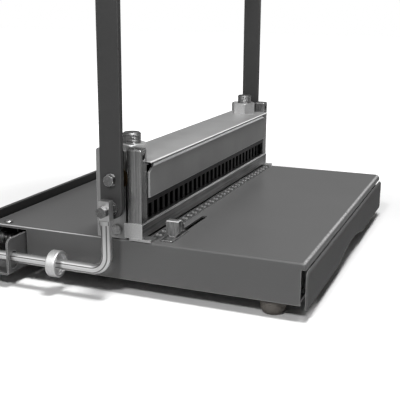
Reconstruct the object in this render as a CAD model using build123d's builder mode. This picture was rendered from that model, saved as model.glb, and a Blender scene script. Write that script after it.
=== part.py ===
# Manual two-arm punch with a wire closer along its back edge.
# Millimetres.  +X to the operator's right, +Y to the back, +Z up.
# Origin: centre of the bounding box in plan, at the bench.
from build123d import *
import math
import os

os.makedirs("parts", exist_ok=True)

# ---------------------------------------------------------------- driving dimensions
HOLE_PITCH = 12.7           # two holes to the inch
HOLE_COUNT = 28             # a fourteen inch edge
HANDLE_TRAVEL = 75.0        # degrees, upright to pulled down

TABLE_Z = 56.0              # paper table above the bench
SHEET = 2.0                 # base, covers and channel
BASE_HALF = 194.0           # half width of the base
BASE_FRONT = -184.8         # nose of the table's front fold
BASE_BACK = 172.0
SKIRT_Z = 15.7              # lower edge of the skirt, and height of the feet
FRONT_ROLL = 5.2            # outer radius of the table's front fold
SIDE_ROLL = 2.5
LIP_DEPTH = 6.6             # the table's front edge is folded down this far
SIDE_FRONT = -180.5         # front edges of the two sides, behind the fold

THROAT = 2.5                # gap that takes the sheets
BAR_TOP = 73.0              # stripper bar
BAR_HALF = 195.0
BAR_FRONT = -27.0
BAR_BACK = 18.0
COVER_LOW = 96.3            # lower edge of the head's front cover
COVER_TOP = 131.0
COVER_HALF = 181.5
COVER_FRONT = -29.0
COVER_BACK = 20.0

PUNCH_Y = -19.0
COLUMN_X = 166.0
COLUMN_Y = -3.0
COLUMN_R = 9.0
COLUMN_TOP = 155.0

PLATE_IN = 186.0            # side plates, between these two distances from the middle
PLATE_OUT = 192.0
POST_IN = 181.8
PIVOT_Z = 115.5             # the handle turns about X through (0, PIVOT_Z)
SHAFT_R = 8.0
ECCENTRICITY = 6.5          # crank throw
CRANK_PIN_R = 4.5

ARM_IN = 199.0
ARM_THICK = 6.0
ARM_WIDTH = 22.0
PIN_DROP = 26.5             # link pin below the pivot
GRIP_Z = 464.0

ROD_X = 214.8               # closer rods
ROD_R = 5.0
ROD_Z = 30.0                # their straight stretch above the bench
ROD_BEND = 16.0
ROD_END = 126.0
COLLAR_FRONT = 50.5
COLLAR_BACK = 61.0

CHANNEL_HALF = 224.0        # closer channel
CHANNEL_FRONT = 105.0
CHANNEL_BACK = 146.0
CHANNEL_LOW = 13.5
CHANNEL_TOP = 50.0
JAW_HALF = 187.0
JAW_THICK = 6.0
JAW_LOW = 22.0
JAW_TOP = 65.0
FIXED_JAW_FRONT = 167.0
GUIDE_X = 180.0             # closer guide rods
GUIDE_Z = 36.0
GUIDE_R = 4.0

TRAY_HALF = 162.0           # chip tray
TRAY_LOW = 12.5
TRAY_TOP = 42.6
TRAY_BACK = 95.0
TRAY_SHEET = 1.5
FRONT_FACE = -187.5         # drawer front
FRONT_LOW = 11.0
FRONT_TOP = 47.8

FOOT_X = 178.0
FOOT_FRONT_Y = -151.5
FOOT_BACK_Y = 172.0
FOOT_R = 12.5
REAR_PLATE_BACK = 187.5
REAR_PLATE_THICK = 2.5

SLOT_Y = -47.5              # side stop's slot in the table
SLOT_LEFT = -172.0
SLOT_RIGHT = -85.0
SLOT_WIDE = 6.0
STOP_SCREW_X = -153.0
STUD_R = 2.4

RUN = 0.05                  # radial running clearance
FREE = 0.3                  # gap between pieces that pass each other

# ---------------------------------------------------------------- derived places
THROAT_TOP = TABLE_Z + THROAT
PIN_Z = PIVOT_Z - PIN_DROP
ARM_OUT = ARM_IN + ARM_THICK
CHANNEL_WEB_BACK = CHANNEL_FRONT + SHEET
JAW_FRONT = CHANNEL_BACK
CRANK_START = math.radians(HANDLE_TRAVEL / 2)
CRANK_PIN_Y = -ECCENTRICITY * math.cos(CRANK_START)
CRANK_PIN_Z = PIVOT_Z + ECCENTRICITY * math.sin(CRANK_START)
BASE_MID_Y = (BASE_FRONT + BASE_BACK) / 2
BASE_DEEP = BASE_BACK - BASE_FRONT
TABLE_UNDER = TABLE_Z - SHEET
FOOT_PLACES = [
    (-FOOT_X, FOOT_FRONT_Y),
    (FOOT_X, FOOT_FRONT_Y),
    (-FOOT_X, FOOT_BACK_Y),
    (FOOT_X, FOOT_BACK_Y),
]
SIDES = {"left": -1, "right": 1}


def across(x):
    """Plane square to X at x; its sketches are drawn in (Y, Z)."""
    return Plane.YZ.offset(x)


def facing(y):
    """Plane square to Y at y; its sketches are drawn in (X, Z) and extrude towards the front."""
    return Plane.XZ.offset(-y)


def level(z):
    """Plane square to Z at z; its sketches are drawn in (X, Y)."""
    return Plane.XY.offset(z)


def outer_rims(pieces, side):
    """Round edges that lie furthest out on one side of the machine."""
    return pieces.edges().filter_by(GeomType.CIRCLE).group_by(Axis.X)[-1 if side > 0 else 0]


def hexagon(side, start, height, z, turn):
    """Bolt head or nut on the pivot line, from start outwards, with turned corners."""
    with BuildPart(mode=Mode.PRIVATE) as head:
        with BuildSketch(across(side * start)):
            with Locations((0, z)):
                Circle(HEX_FLATS / math.sqrt(3))
        extrude(amount=side * height)
        chamfer(outer_rims(head, side), HEX_CHAMFER)
        with BuildSketch(across(side * start)):
            with Locations((0, z)):
                RegularPolygon(HEX_FLATS / 2, 6, major_radius=False, rotation=turn)
        extrude(amount=side * height, mode=Mode.INTERSECT)
    return head.part


# ================================================================ base
# Folded sheet: table on top, rolled edges, skirt on two sides, open below and at both ends.
FLANGE_IN = 166.0           # inner edge of the flanges that carry the front feet
FLANGE_BACK = 100.0
SIDE_CUT_FRONT = 103.0      # the closer channel comes out of the sides behind this
SIDE_CUT_BACK = 160.0
SIDE_CUT_TOP = 52.5
BED_OPENING_HALF = 177.2
BED_LAND_FRONT = -26.0      # the die bed's land comes up flush through the table
BED_LAND_BACK = -13.0
JAW_OPENING_HALF = 188.0
JAW_OPENING_FRONT = 144.0
BRACKET_SCREW_X = 188.0
BRACKET_SCREW_Y = 128.0
BRACKET_SCREW_R = 2.5

with BuildPart() as base_space:
    with BuildSketch(level(SKIRT_Z - SHEET)):
        with Locations((0, BASE_MID_Y)):
            Rectangle(2 * (BASE_HALF - SHEET), BASE_DEEP - 2 * SHEET)
    extrude(amount=TABLE_Z - SKIRT_Z)
    fillet(base_space.edges().group_by(Axis.Z)[-1].filter_by(Axis.X).sort_by(Axis.Y)[0], FRONT_ROLL - SHEET)

with BuildPart() as base_housing:
    with BuildSketch(level(SKIRT_Z)):
        with Locations((0, BASE_MID_Y)):
            Rectangle(2 * BASE_HALF, BASE_DEEP)
    extrude(amount=TABLE_Z - SKIRT_Z)
    fillet(base_housing.edges().group_by(Axis.Z)[-1].filter_by(Axis.X).sort_by(Axis.Y)[0], FRONT_ROLL)
    fillet(base_housing.edges().group_by(Axis.Z)[-1].filter_by(Axis.Y), SIDE_ROLL)
    add(base_space.part, mode=Mode.SUBTRACT)
    # flanges for the front feet
    for side in SIDES.values():
        with BuildSketch(level(SKIRT_Z)):
            with Locations((side * (FLANGE_IN + BASE_HALF) / 2, (BASE_FRONT + FLANGE_BACK) / 2)):
                Rectangle(BASE_HALF - FLANGE_IN, FLANGE_BACK - BASE_FRONT)
        extrude(amount=SHEET)
    # the sides end behind the fold
    with BuildSketch(facing(SIDE_FRONT)):
        with Locations((0, (TABLE_Z - LIP_DEPTH) / 2)):
            Rectangle(2 * (BASE_HALF + SHEET), TABLE_Z - LIP_DEPTH)
    extrude(amount=SIDE_FRONT - BASE_FRONT + SHEET, mode=Mode.SUBTRACT)
    # front end left open for the drawer
    with BuildSketch(facing(BASE_FRONT + 3 * SHEET)):
        with Locations((0, (SKIRT_Z + TABLE_Z - LIP_DEPTH) / 2)):
            Rectangle(2 * (BASE_HALF - SHEET), TABLE_Z - LIP_DEPTH - SKIRT_Z)
    extrude(amount=4 * SHEET, mode=Mode.SUBTRACT)
    # back end left open for the fixed jaw, with the jaw opening above it
    with BuildSketch(facing(BASE_BACK + SHEET)):
        with Locations((0, (SKIRT_Z + TABLE_UNDER) / 2)):
            Rectangle(2 * (BASE_HALF - SHEET), TABLE_UNDER - SKIRT_Z)
    extrude(amount=3 * SHEET, mode=Mode.SUBTRACT)
    with BuildSketch(level(TABLE_Z)):
        with Locations((0, (JAW_OPENING_FRONT + BASE_BACK + SHEET) / 2)):
            Rectangle(2 * JAW_OPENING_HALF, BASE_BACK + SHEET - JAW_OPENING_FRONT)
    extrude(amount=-2 * SHEET, mode=Mode.SUBTRACT)
    # side cut-outs for the closer channel, and the skirt's seat on the rear foot plate
    with BuildSketch(across(-BASE_HALF - SHEET)):
        with Locations(((SIDE_CUT_FRONT + SIDE_CUT_BACK) / 2, SIDE_CUT_TOP / 2)):
            Rectangle(SIDE_CUT_BACK - SIDE_CUT_FRONT, SIDE_CUT_TOP)
        with Locations(((SIDE_CUT_FRONT + BASE_BACK + SHEET) / 2, SKIRT_Z)):
            Rectangle(BASE_BACK + SHEET - SIDE_CUT_FRONT, 2 * REAR_PLATE_THICK)
    extrude(amount=2 * (BASE_HALF + SHEET), mode=Mode.SUBTRACT)
    # openings in the table
    with BuildSketch(level(TABLE_Z)):
        with Locations((0, (BED_LAND_FRONT + BED_LAND_BACK) / 2)):
            Rectangle(2 * BED_OPENING_HALF, BED_LAND_BACK - BED_LAND_FRONT)
        with Locations(((SLOT_LEFT + SLOT_RIGHT) / 2, SLOT_Y)):
            SlotOverall(SLOT_RIGHT - SLOT_LEFT, SLOT_WIDE)
        with Locations((-COLUMN_X, COLUMN_Y), (COLUMN_X, COLUMN_Y)):
            Circle(COLUMN_R)
        with Locations((-BRACKET_SCREW_X, BRACKET_SCREW_Y), (BRACKET_SCREW_X, BRACKET_SCREW_Y)):
            Circle(BRACKET_SCREW_R)
    extrude(amount=-2 * SHEET, mode=Mode.SUBTRACT)
    # holes for the front feet and the fixed jaw's screws
    with BuildSketch(level(SKIRT_Z)):
        with Locations(*FOOT_PLACES[:2]):
            Circle(2.5)
    extrude(amount=SHEET, mode=Mode.SUBTRACT)
    with BuildSketch(across(-BASE_HALF)):
        with Locations((BASE_BACK - 2.5, 30), (BASE_BACK - 2.5, 46)):
            Circle(1.5)
    extrude(amount=2 * BASE_HALF, mode=Mode.SUBTRACT)
base_housing.part.label = "base_housing"
export_step(base_housing.part, "parts/base_housing.step")

# Plate under the back edge: it carries the rear feet and is folded up behind them.
REAR_LIP_TOP = 28.0

with BuildPart() as rear_foot_plate:
    with BuildSketch(across(-BASE_HALF)):
        with BuildLine():
            Polyline(
                (FOOT_BACK_Y - FOOT_R + 0.5, SKIRT_Z),
                (REAR_PLATE_BACK, SKIRT_Z),
                (REAR_PLATE_BACK, REAR_LIP_TOP),
                (REAR_PLATE_BACK - SHEET, REAR_LIP_TOP),
                (REAR_PLATE_BACK - SHEET, SKIRT_Z + REAR_PLATE_THICK),
                (FOOT_BACK_Y - FOOT_R + 0.5, SKIRT_Z + REAR_PLATE_THICK),
                close=True,
            )
        make_face()
    extrude(amount=2 * BASE_HALF)
    with BuildSketch(level(SKIRT_Z)):
        with Locations(*FOOT_PLACES[2:]):
            Circle(2.5)
    extrude(amount=REAR_PLATE_THICK, mode=Mode.SUBTRACT)
rear_foot_plate.part.label = "rear_foot_plate"
export_step(rear_foot_plate.part, "parts/rear_foot_plate.step")

# Bowl-shaped moulded feet, counterbored from below for their screws.
FOOT_BORE_R = 5.0

with BuildPart() as rubber_feet:
    for x, y in FOOT_PLACES:
        with BuildSketch(Plane(origin=(x, y, 0), x_dir=(1, 0, 0), z_dir=(0, -1, 0))):
            with BuildLine():
                Polyline(
                    (FOOT_BORE_R, 0),
                    (FOOT_R - 4, 0),
                    (FOOT_R - 2.9, 0.9),
                    (FOOT_R - 1.4, 3.2),
                    (FOOT_R - 0.4, 6),
                    (FOOT_R, 8.6),
                    (FOOT_R, SKIRT_Z - 2.6),
                    (FOOT_R - 0.7, SKIRT_Z - 1.9),
                    (FOOT_R - 0.3, SKIRT_Z - 1.2),
                    (FOOT_R - 0.3, SKIRT_Z),
                    (2.5, SKIRT_Z),
                    (2.5, 7),
                    (FOOT_BORE_R, 7),
                    close=True,
                )
            make_face()
        revolve(axis=Axis((x, y, 0), (0, 0, 1)))
rubber_feet.part.label = "rubber_feet"
export_step(rubber_feet.part, "parts/rubber_feet.step")

with BuildPart() as foot_screws:
    for x, y in FOOT_PLACES:
        screw_top = SKIRT_Z + (SHEET if y < 0 else REAR_PLATE_THICK)
        with BuildSketch(Plane(origin=(x, y, 0), x_dir=(1, 0, 0), z_dir=(0, -1, 0))):
            with BuildLine():
                Polyline(
                    (0, 4),
                    (4, 4),
                    (4.75, 4.8),
                    (4.75, 7),
                    (2.4, 7),
                    (2.4, screw_top),
                    (0, screw_top),
                    close=True,
                )
            make_face()
        revolve(axis=Axis((x, y, 0), (0, 0, 1)))
foot_screws.part.label = "foot_screws"
export_step(foot_screws.part, "parts/foot_screws.step")

# ================================================================ die and throat
# Bed under the table; its ground land comes up flush and holds one die opening for each punch.
PUNCH_WIDE = 5.0            # along X
PUNCH_DEEP = 4.0            # along Y
PUNCH_FIT = 0.05
DIE_FIT = 0.1
DIE_RELIEF = 0.8
BED_HALF = 182.0
BED_FRONT = -30.0
BED_BACK = 12.0
BED_LOW = 46.0
RELIEF_TOP = 50.0

with BuildPart() as die_bed:
    with BuildSketch(level(BED_LOW)):
        with Locations((0, (BED_FRONT + BED_BACK) / 2)):
            Rectangle(2 * BED_HALF, BED_BACK - BED_FRONT)
    extrude(amount=TABLE_UNDER - BED_LOW)
    with BuildSketch(level(TABLE_UNDER)):
        with Locations((0, (BED_LAND_FRONT + BED_LAND_BACK) / 2)):
            Rectangle(2 * (BED_OPENING_HALF - 0.2), BED_LAND_BACK - BED_LAND_FRONT - 0.4)
    extrude(amount=SHEET)
    with BuildSketch(level(BED_LOW)):
        with Locations((0, PUNCH_Y)):
            with GridLocations(HOLE_PITCH, 1, HOLE_COUNT, 1):
                Rectangle(PUNCH_WIDE + 2 * DIE_FIT, PUNCH_DEEP + 2 * DIE_FIT)
        with Locations((-COLUMN_X, COLUMN_Y), (COLUMN_X, COLUMN_Y)):
            Circle(COLUMN_R)
    extrude(amount=TABLE_Z - BED_LOW, mode=Mode.SUBTRACT)
    with BuildSketch(level(BED_LOW)):
        with Locations((0, PUNCH_Y)):
            with GridLocations(HOLE_PITCH, 1, HOLE_COUNT, 1):
                Rectangle(PUNCH_WIDE + 2 * DIE_RELIEF, PUNCH_DEEP + 2 * DIE_RELIEF)
    extrude(amount=RELIEF_TOP - BED_LOW, mode=Mode.SUBTRACT)
die_bed.part.label = "die_bed"
export_step(die_bed.part, "parts/die_bed.step")

# Plated plates under the bar's ends; they set the height of the throat.
SPACER_IN = 182.5
SPACER_FRONT = -36.0
STOP_Y = -13.0              # the sheets' edges come to rest here

with BuildPart() as throat_spacers:
    for side in SIDES.values():
        with BuildSketch(level(TABLE_Z)):
            with Locations((side * (SPACER_IN + BAR_HALF) / 2, (SPACER_FRONT + STOP_Y) / 2)):
                Rectangle(BAR_HALF - SPACER_IN, STOP_Y - SPACER_FRONT)
        extrude(amount=THROAT)
throat_spacers.part.label = "throat_spacers"
export_step(throat_spacers.part, "parts/throat_spacers.step")

with BuildPart() as paper_backstop:
    with BuildSketch(level(TABLE_Z)):
        with Locations((0, (STOP_Y + BAR_BACK) / 2)):
            Rectangle(2 * (PLATE_IN - 0.2), BAR_BACK - STOP_Y)
        with Locations((-COLUMN_X, COLUMN_Y), (COLUMN_X, COLUMN_Y)):
            Circle(COLUMN_R + 0.3, mode=Mode.SUBTRACT)
    extrude(amount=THROAT)
paper_backstop.part.label = "paper_backstop"
export_step(paper_backstop.part, "parts/paper_backstop.step")

# Ground bar over the throat: it guides the punches and strips the paper off them.
PLATE_FRONT = -8.5
PLATE_BACK = 22.0
PLATE_BOLT_Y = [1.0, 13.0]
PLATE_BOLT_Z = 64.5
PLATE_BOLT_R = 3.0
PLATE_BOLT_DEEP = 10.0
BACK_SCREW_X = [-150.0, 0.0, 150.0]
BACK_SCREW_Z = 67.0
BACK_SCREW_R = 2.0

with BuildPart() as stripper_bar:
    with BuildSketch(level(THROAT_TOP)):
        with Locations((0, (BAR_FRONT + BAR_BACK) / 2)):
            Rectangle(2 * BAR_HALF, BAR_BACK - BAR_FRONT)
        for side in SIDES.values():
            with Locations((side * (PLATE_IN + BAR_HALF) / 2, (PLATE_FRONT + BAR_BACK) / 2)):
                Rectangle(BAR_HALF - PLATE_IN, BAR_BACK - PLATE_FRONT, mode=Mode.SUBTRACT)
    extrude(amount=BAR_TOP - THROAT_TOP)
    front_edges = stripper_bar.edges().filter_by(Axis.X).group_by(Axis.Y)[0].sort_by(Axis.Z)
    chamfer(front_edges[-1], 1.2)
    chamfer(front_edges[0], 0.8)
    with BuildSketch(level(THROAT_TOP)):
        with Locations((0, PUNCH_Y)):
            with GridLocations(HOLE_PITCH, 1, HOLE_COUNT, 1):
                Rectangle(PUNCH_WIDE + 2 * PUNCH_FIT, PUNCH_DEEP + 2 * PUNCH_FIT)
        with Locations((-COLUMN_X, COLUMN_Y), (COLUMN_X, COLUMN_Y)):
            Circle(COLUMN_R + 0.1)
    extrude(amount=BAR_TOP - THROAT_TOP, mode=Mode.SUBTRACT)
    for side in SIDES.values():
        with BuildSketch(across(side * PLATE_IN)):
            with Locations(*[(y, PLATE_BOLT_Z) for y in PLATE_BOLT_Y]):
                Circle(PLATE_BOLT_R)
        extrude(amount=-side * PLATE_BOLT_DEEP, mode=Mode.SUBTRACT)
    with BuildSketch(facing(BAR_BACK)):
        with Locations(*[(x, BACK_SCREW_Z) for x in BACK_SCREW_X]):
            Circle(BACK_SCREW_R)
    extrude(amount=8, mode=Mode.SUBTRACT)
stripper_bar.part.label = "stripper_bar"
export_step(stripper_bar.part, "parts/stripper_bar.step")

# ================================================================ side plates and posts
PLATE_TOP = 142.5
BUSH_R = 10.0

for name, side in SIDES.items():
    with BuildPart() as side_plate:
        with BuildSketch(across(side * PLATE_IN)):
            with Locations(((PLATE_FRONT + PLATE_BACK) / 2, (TABLE_Z + PLATE_TOP) / 2)):
                Rectangle(PLATE_BACK - PLATE_FRONT, PLATE_TOP - TABLE_Z)
            with Locations((0, PIVOT_Z)):
                Circle(BUSH_R, mode=Mode.SUBTRACT)
            with Locations(*[(y, PLATE_BOLT_Z) for y in PLATE_BOLT_Y]):
                Circle(PLATE_BOLT_R, mode=Mode.SUBTRACT)
        extrude(amount=side * (PLATE_OUT - PLATE_IN))
        fillet(side_plate.edges().filter_by(Axis.X).group_by(Axis.Z)[-1], 3)
    side_plate.part.label = f"side_plate_{name}"
    export_step(side_plate.part, f"parts/side_plate_{name}.step")

with BuildPart() as side_plate_bolts:
    for side in SIDES.values():
        with BuildSketch(across(side * PLATE_OUT)):
            with Locations(*[(y, PLATE_BOLT_Z) for y in PLATE_BOLT_Y]):
                Circle(5.2)
        extrude(amount=side * 3.5)
        chamfer(outer_rims(side_plate_bolts, side), 1)
        with BuildSketch(across(side * PLATE_OUT)):
            with Locations(*[(y, PLATE_BOLT_Z) for y in PLATE_BOLT_Y]):
                Circle(PLATE_BOLT_R)
        extrude(amount=-side * (PLATE_OUT - PLATE_IN + PLATE_BOLT_DEEP))
side_plate_bolts.part.label = "side_plate_bolts"
export_step(side_plate_bolts.part, "parts/side_plate_bolts.step")

# Posts on the bar's front corners; they keep the press beam from shifting sideways.
POST_FRONT = -26.5
POST_BACK = -12.0
POST_TOP = 144.0
SET_SCREW_Z = 136.5
SET_SCREW_R = 3.4
SET_SCREW_DEEP = 7.0
SET_SCREW_SUNK = 3.0

for name, side in SIDES.items():
    with BuildPart() as guide_post:
        with BuildSketch(level(BAR_TOP)):
            with Locations((side * (POST_IN + BAR_HALF) / 2, (POST_FRONT + POST_BACK) / 2)):
                RectangleRounded(BAR_HALF - POST_IN, POST_BACK - POST_FRONT, 1.2)
        extrude(amount=POST_TOP - BAR_TOP)
        chamfer(guide_post.faces().sort_by(Axis.Z)[-1].edges(), 1.2)
        with BuildSketch(facing(POST_FRONT)):
            with Locations((side * (POST_IN + BAR_HALF) / 2, SET_SCREW_Z)):
                Circle(SET_SCREW_R)
        extrude(amount=-SET_SCREW_DEEP, mode=Mode.SUBTRACT)
    guide_post.part.label = f"guide_post_{name}"
    export_step(guide_post.part, f"parts/guide_post_{name}.step")

with BuildPart() as post_set_screws:
    for side in SIDES.values():
        with BuildSketch(facing(POST_FRONT + SET_SCREW_SUNK)):
            with Locations((side * (POST_IN + BAR_HALF) / 2, SET_SCREW_Z)):
                Circle(SET_SCREW_R)
        extrude(amount=-(SET_SCREW_DEEP - SET_SCREW_SUNK))
        with BuildSketch(facing(POST_FRONT + SET_SCREW_SUNK)):
            with Locations((side * (POST_IN + BAR_HALF) / 2, SET_SCREW_Z)):
                RegularPolygon(1.4, 6)
        extrude(amount=-2, mode=Mode.SUBTRACT)
post_set_screws.part.label = "post_set_screws"
export_step(post_set_screws.part, "parts/post_set_screws.step")

with BuildPart() as pivot_bushes:
    for side in SIDES.values():
        with BuildSketch(across(side * PLATE_IN)):
            with Locations((0, PIVOT_Z)):
                Circle(BUSH_R)
        extrude(amount=side * (PLATE_OUT - PLATE_IN))
        with BuildSketch(across(side * PLATE_OUT)):
            with Locations((0, PIVOT_Z)):
                Circle(BUSH_R + 1.7)
        extrude(amount=side * 1.5)
        with BuildSketch(across(side * PLATE_IN)):
            with Locations((0, PIVOT_Z)):
                Circle(SHAFT_R + RUN)
        extrude(amount=side * (PLATE_OUT - PLATE_IN + 1.5), mode=Mode.SUBTRACT)
pivot_bushes.part.label = "pivot_bushes"
export_step(pivot_bushes.part, "parts/pivot_bushes.step")

# ================================================================ columns
# Turned columns: screwed into the bed, ground where the beam slides, with a shoulder under the
# top plate and a thread above it.
SHOULDER_R = 10.5
SHOULDER_LOW = 125.0
PLATE_UNDER = COVER_TOP - SHEET

for name, side in SIDES.items():
    column_axis = Axis((side * COLUMN_X, COLUMN_Y, 0), (0, 0, 1))
    with BuildPart() as column:
        with BuildSketch(Plane(origin=column_axis.position, x_dir=(1, 0, 0), z_dir=(0, -1, 0))):
            with BuildLine():
                Polyline(
                    (0, BED_LOW),
                    (COLUMN_R, BED_LOW),
                    (COLUMN_R, SHOULDER_LOW),
                    (SHOULDER_R, SHOULDER_LOW),
                    (SHOULDER_R, PLATE_UNDER),
                    (COLUMN_R, PLATE_UNDER),
                    (COLUMN_R, COLUMN_TOP - 1.5),
                    (COLUMN_R - 1.5, COLUMN_TOP),
                    (0, COLUMN_TOP),
                    close=True,
                )
            make_face()
        revolve(axis=column_axis)
    column.part.label = f"column_{name}"
    export_step(column.part, f"parts/column_{name}.step")

# Hexagon nuts, 27 across the flats, turned to a cone at the top.
NUT_FLATS = 27.0
NUT_TOP = 145.0

with BuildPart() as nut_turning:
    for side in SIDES.values():
        nut_axis = Axis((side * COLUMN_X, COLUMN_Y, 0), (0, 0, 1))
        with BuildSketch(Plane(origin=nut_axis.position, x_dir=(1, 0, 0), z_dir=(0, -1, 0))):
            with BuildLine():
                Polyline(
                    (COLUMN_R, COVER_TOP),
                    (NUT_FLATS * 0.6, COVER_TOP),
                    (NUT_FLATS * 0.6, NUT_TOP - 1.8),
                    (NUT_FLATS * 0.475, NUT_TOP),
                    (COLUMN_R, NUT_TOP),
                    close=True,
                )
            make_face()
        revolve(axis=nut_axis)

with BuildPart() as column_nuts:
    with BuildSketch(level(COVER_TOP)):
        with Locations((-COLUMN_X, COLUMN_Y), (COLUMN_X, COLUMN_Y)):
            RegularPolygon(NUT_FLATS / 2, 6, major_radius=False, rotation=20)
    extrude(amount=NUT_TOP - COVER_TOP)
    add(nut_turning.part, mode=Mode.INTERSECT)
column_nuts.part.label = "column_nuts"
export_step(column_nuts.part, "parts/column_nuts.step")

# ================================================================ head covers
with BuildPart() as head_top_plate:
    with BuildSketch(level(PLATE_UNDER)):
        with Locations((0, (COVER_FRONT - SHEET + COVER_BACK) / 2)):
            Rectangle(2 * COVER_HALF, COVER_BACK - COVER_FRONT + SHEET)
        with Locations((-COLUMN_X, COLUMN_Y), (COLUMN_X, COLUMN_Y)):
            Circle(COLUMN_R + 0.2, mode=Mode.SUBTRACT)
    extrude(amount=SHEET)
    fillet(head_top_plate.edges().filter_by(Axis.X).group_by(Axis.Z)[-1].sort_by(Axis.Y)[0], 0.8)
head_top_plate.part.label = "head_top_plate"
export_step(head_top_plate.part, "parts/head_top_plate.step")

# Front cover: one fold, its upper corners cut away at a slant.
COVER_ROLL = 5.0
COVER_FLANGE_BACK = -14.5
MITRE_LONG = 15.5
MITRE_DEEP = 9.0

with BuildPart() as head_front_cover:
    with BuildSketch(across(-COVER_HALF)):
        with BuildLine():
            Polyline(
                (COVER_FRONT, COVER_LOW),
                (COVER_FRONT, PLATE_UNDER),
                (COVER_FLANGE_BACK, PLATE_UNDER),
                (COVER_FLANGE_BACK, PLATE_UNDER - SHEET),
                (COVER_FRONT + SHEET, PLATE_UNDER - SHEET),
                (COVER_FRONT + SHEET, COVER_LOW),
                close=True,
            )
        make_face()
    extrude(amount=2 * COVER_HALF)
    long_edges = head_front_cover.edges().filter_by(Axis.X)
    fillet(long_edges.group_by(Axis.Z)[-1].sort_by(Axis.Y)[0], COVER_ROLL)
    inner_fold = head_front_cover.edges().filter_by(Axis.X).filter_by_position(
        Axis.Z, PLATE_UNDER - SHEET - 0.1, PLATE_UNDER - SHEET + 0.1
    )
    fillet(inner_fold.sort_by(Axis.Y)[0], COVER_ROLL - SHEET)
    with BuildSketch(facing(COVER_FRONT - 1)):
        for side in SIDES.values():
            with BuildLine():
                Polyline(
                    (side * (COVER_HALF - MITRE_LONG), PLATE_UNDER + 1),
                    (side * (COVER_HALF + 1), PLATE_UNDER + 1),
                    (side * (COVER_HALF + 1), PLATE_UNDER - MITRE_DEEP),
                    close=True,
                )
            make_face()
    extrude(amount=-(COVER_ROLL + 1), mode=Mode.SUBTRACT)
head_front_cover.part.label = "head_front_cover"
export_step(head_front_cover.part, "parts/head_front_cover.step")

BACK_COVER_LOW = 62.0
BACK_FLANGE_FRONT = 8.0

with BuildPart() as head_back_cover:
    with BuildSketch(across(-COVER_HALF)):
        with BuildLine():
            Polyline(
                (COVER_BACK, BACK_COVER_LOW),
                (COVER_BACK, PLATE_UNDER),
                (BACK_FLANGE_FRONT, PLATE_UNDER),
                (BACK_FLANGE_FRONT, PLATE_UNDER - SHEET),
                (COVER_BACK - SHEET, PLATE_UNDER - SHEET),
                (COVER_BACK - SHEET, BACK_COVER_LOW),
                close=True,
            )
        make_face()
    extrude(amount=2 * COVER_HALF)
    fillet(head_back_cover.edges().filter_by(Axis.X).group_by(Axis.Z)[-1].sort_by(Axis.Y)[-1], 2.5)
    with BuildSketch(facing(COVER_BACK)):
        with Locations(*[(x, BACK_SCREW_Z) for x in BACK_SCREW_X]):
            Circle(BACK_SCREW_R)
    extrude(amount=SHEET, mode=Mode.SUBTRACT)
head_back_cover.part.label = "head_back_cover"
export_step(head_back_cover.part, "parts/head_back_cover.step")

with BuildPart() as back_cover_screws:
    with BuildSketch(facing(COVER_BACK)):
        with Locations(*[(x, BACK_SCREW_Z) for x in BACK_SCREW_X]):
            Circle(4)
    extrude(amount=-2.4)
    chamfer(back_cover_screws.edges().filter_by(GeomType.CIRCLE).group_by(Axis.Y)[-1], 1.2)
    with BuildSketch(facing(COVER_BACK)):
        with Locations(*[(x, BACK_SCREW_Z) for x in BACK_SCREW_X]):
            Circle(BACK_SCREW_R)
    extrude(amount=SHEET + 7)
back_cover_screws.part.label = "back_cover_screws"
export_step(back_cover_screws.part, "parts/back_cover_screws.step")

# Rail in front of the throat: two low teeth at each hole, over which a wire's loops are hung.
RAIL_FRONT = -37.0
RAIL_BACK = -29.5
RAIL_HALF = 182.0
RAIL_THICK = 1.0
TOOTH_HIGH = 1.2
TOOTH_Y = -33.6
TOOTH_STEP = 3.2

with BuildPart() as wire_rail:
    with BuildSketch(level(TABLE_Z)):
        with Locations((0, (RAIL_FRONT + RAIL_BACK) / 2)):
            Rectangle(2 * RAIL_HALF, RAIL_BACK - RAIL_FRONT)
    extrude(amount=RAIL_THICK)
    with BuildSketch(level(TABLE_Z + RAIL_THICK)):
        with Locations((0, TOOTH_Y)):
            with GridLocations(HOLE_PITCH, TOOTH_STEP, HOLE_COUNT, 2):
                Rectangle(1.8, 2.0)
    extrude(amount=TOOTH_HIGH)
wire_rail.part.label = "wire_rail"
export_step(wire_rail.part, "parts/wire_rail.step")

# ================================================================ drawer runners
RUNNER_IN = TRAY_HALF + FREE
RUNNER_WEB = BASE_HALF - SHEET - 1.5
RUNNER_FRONT = -170.0
RUNNER_BACK = 88.0
RUNNER_LOW = 39.5
TRAY_FLANGE_LOW = TRAY_TOP - TRAY_SHEET
RUNNER_HIGH = TRAY_TOP + 0.4

with BuildPart() as drawer_runners:
    for side in SIDES.values():
        with BuildSketch(facing(RUNNER_FRONT)):
            with BuildLine():
                Polyline(
                    (side * (BASE_HALF - SHEET), RUNNER_LOW - 5.5),
                    (side * (BASE_HALF - SHEET), RUNNER_HIGH + 7),
                    (side * RUNNER_WEB, RUNNER_HIGH + 7),
                    (side * RUNNER_WEB, RUNNER_HIGH + 1.5),
                    (side * RUNNER_IN, RUNNER_HIGH + 1.5),
                    (side * RUNNER_IN, RUNNER_HIGH),
                    (side * RUNNER_WEB, RUNNER_HIGH),
                    (side * RUNNER_WEB, TRAY_FLANGE_LOW - 0.1),
                    (side * RUNNER_IN, TRAY_FLANGE_LOW - 0.1),
                    (side * RUNNER_IN, RUNNER_LOW),
                    (side * RUNNER_WEB, RUNNER_LOW),
                    (side * RUNNER_WEB, RUNNER_LOW - 5.5),
                    close=True,
                )
            make_face()
        extrude(amount=-(RUNNER_BACK - RUNNER_FRONT))
drawer_runners.part.label = "drawer_runners"
export_step(drawer_runners.part, "parts/drawer_runners.step")

# ================================================================ closer: fixed pieces
JAW_SCREW_Y = BASE_BACK - 2.5
JAW_SCREW_Z = [30.0, 46.0]

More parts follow.
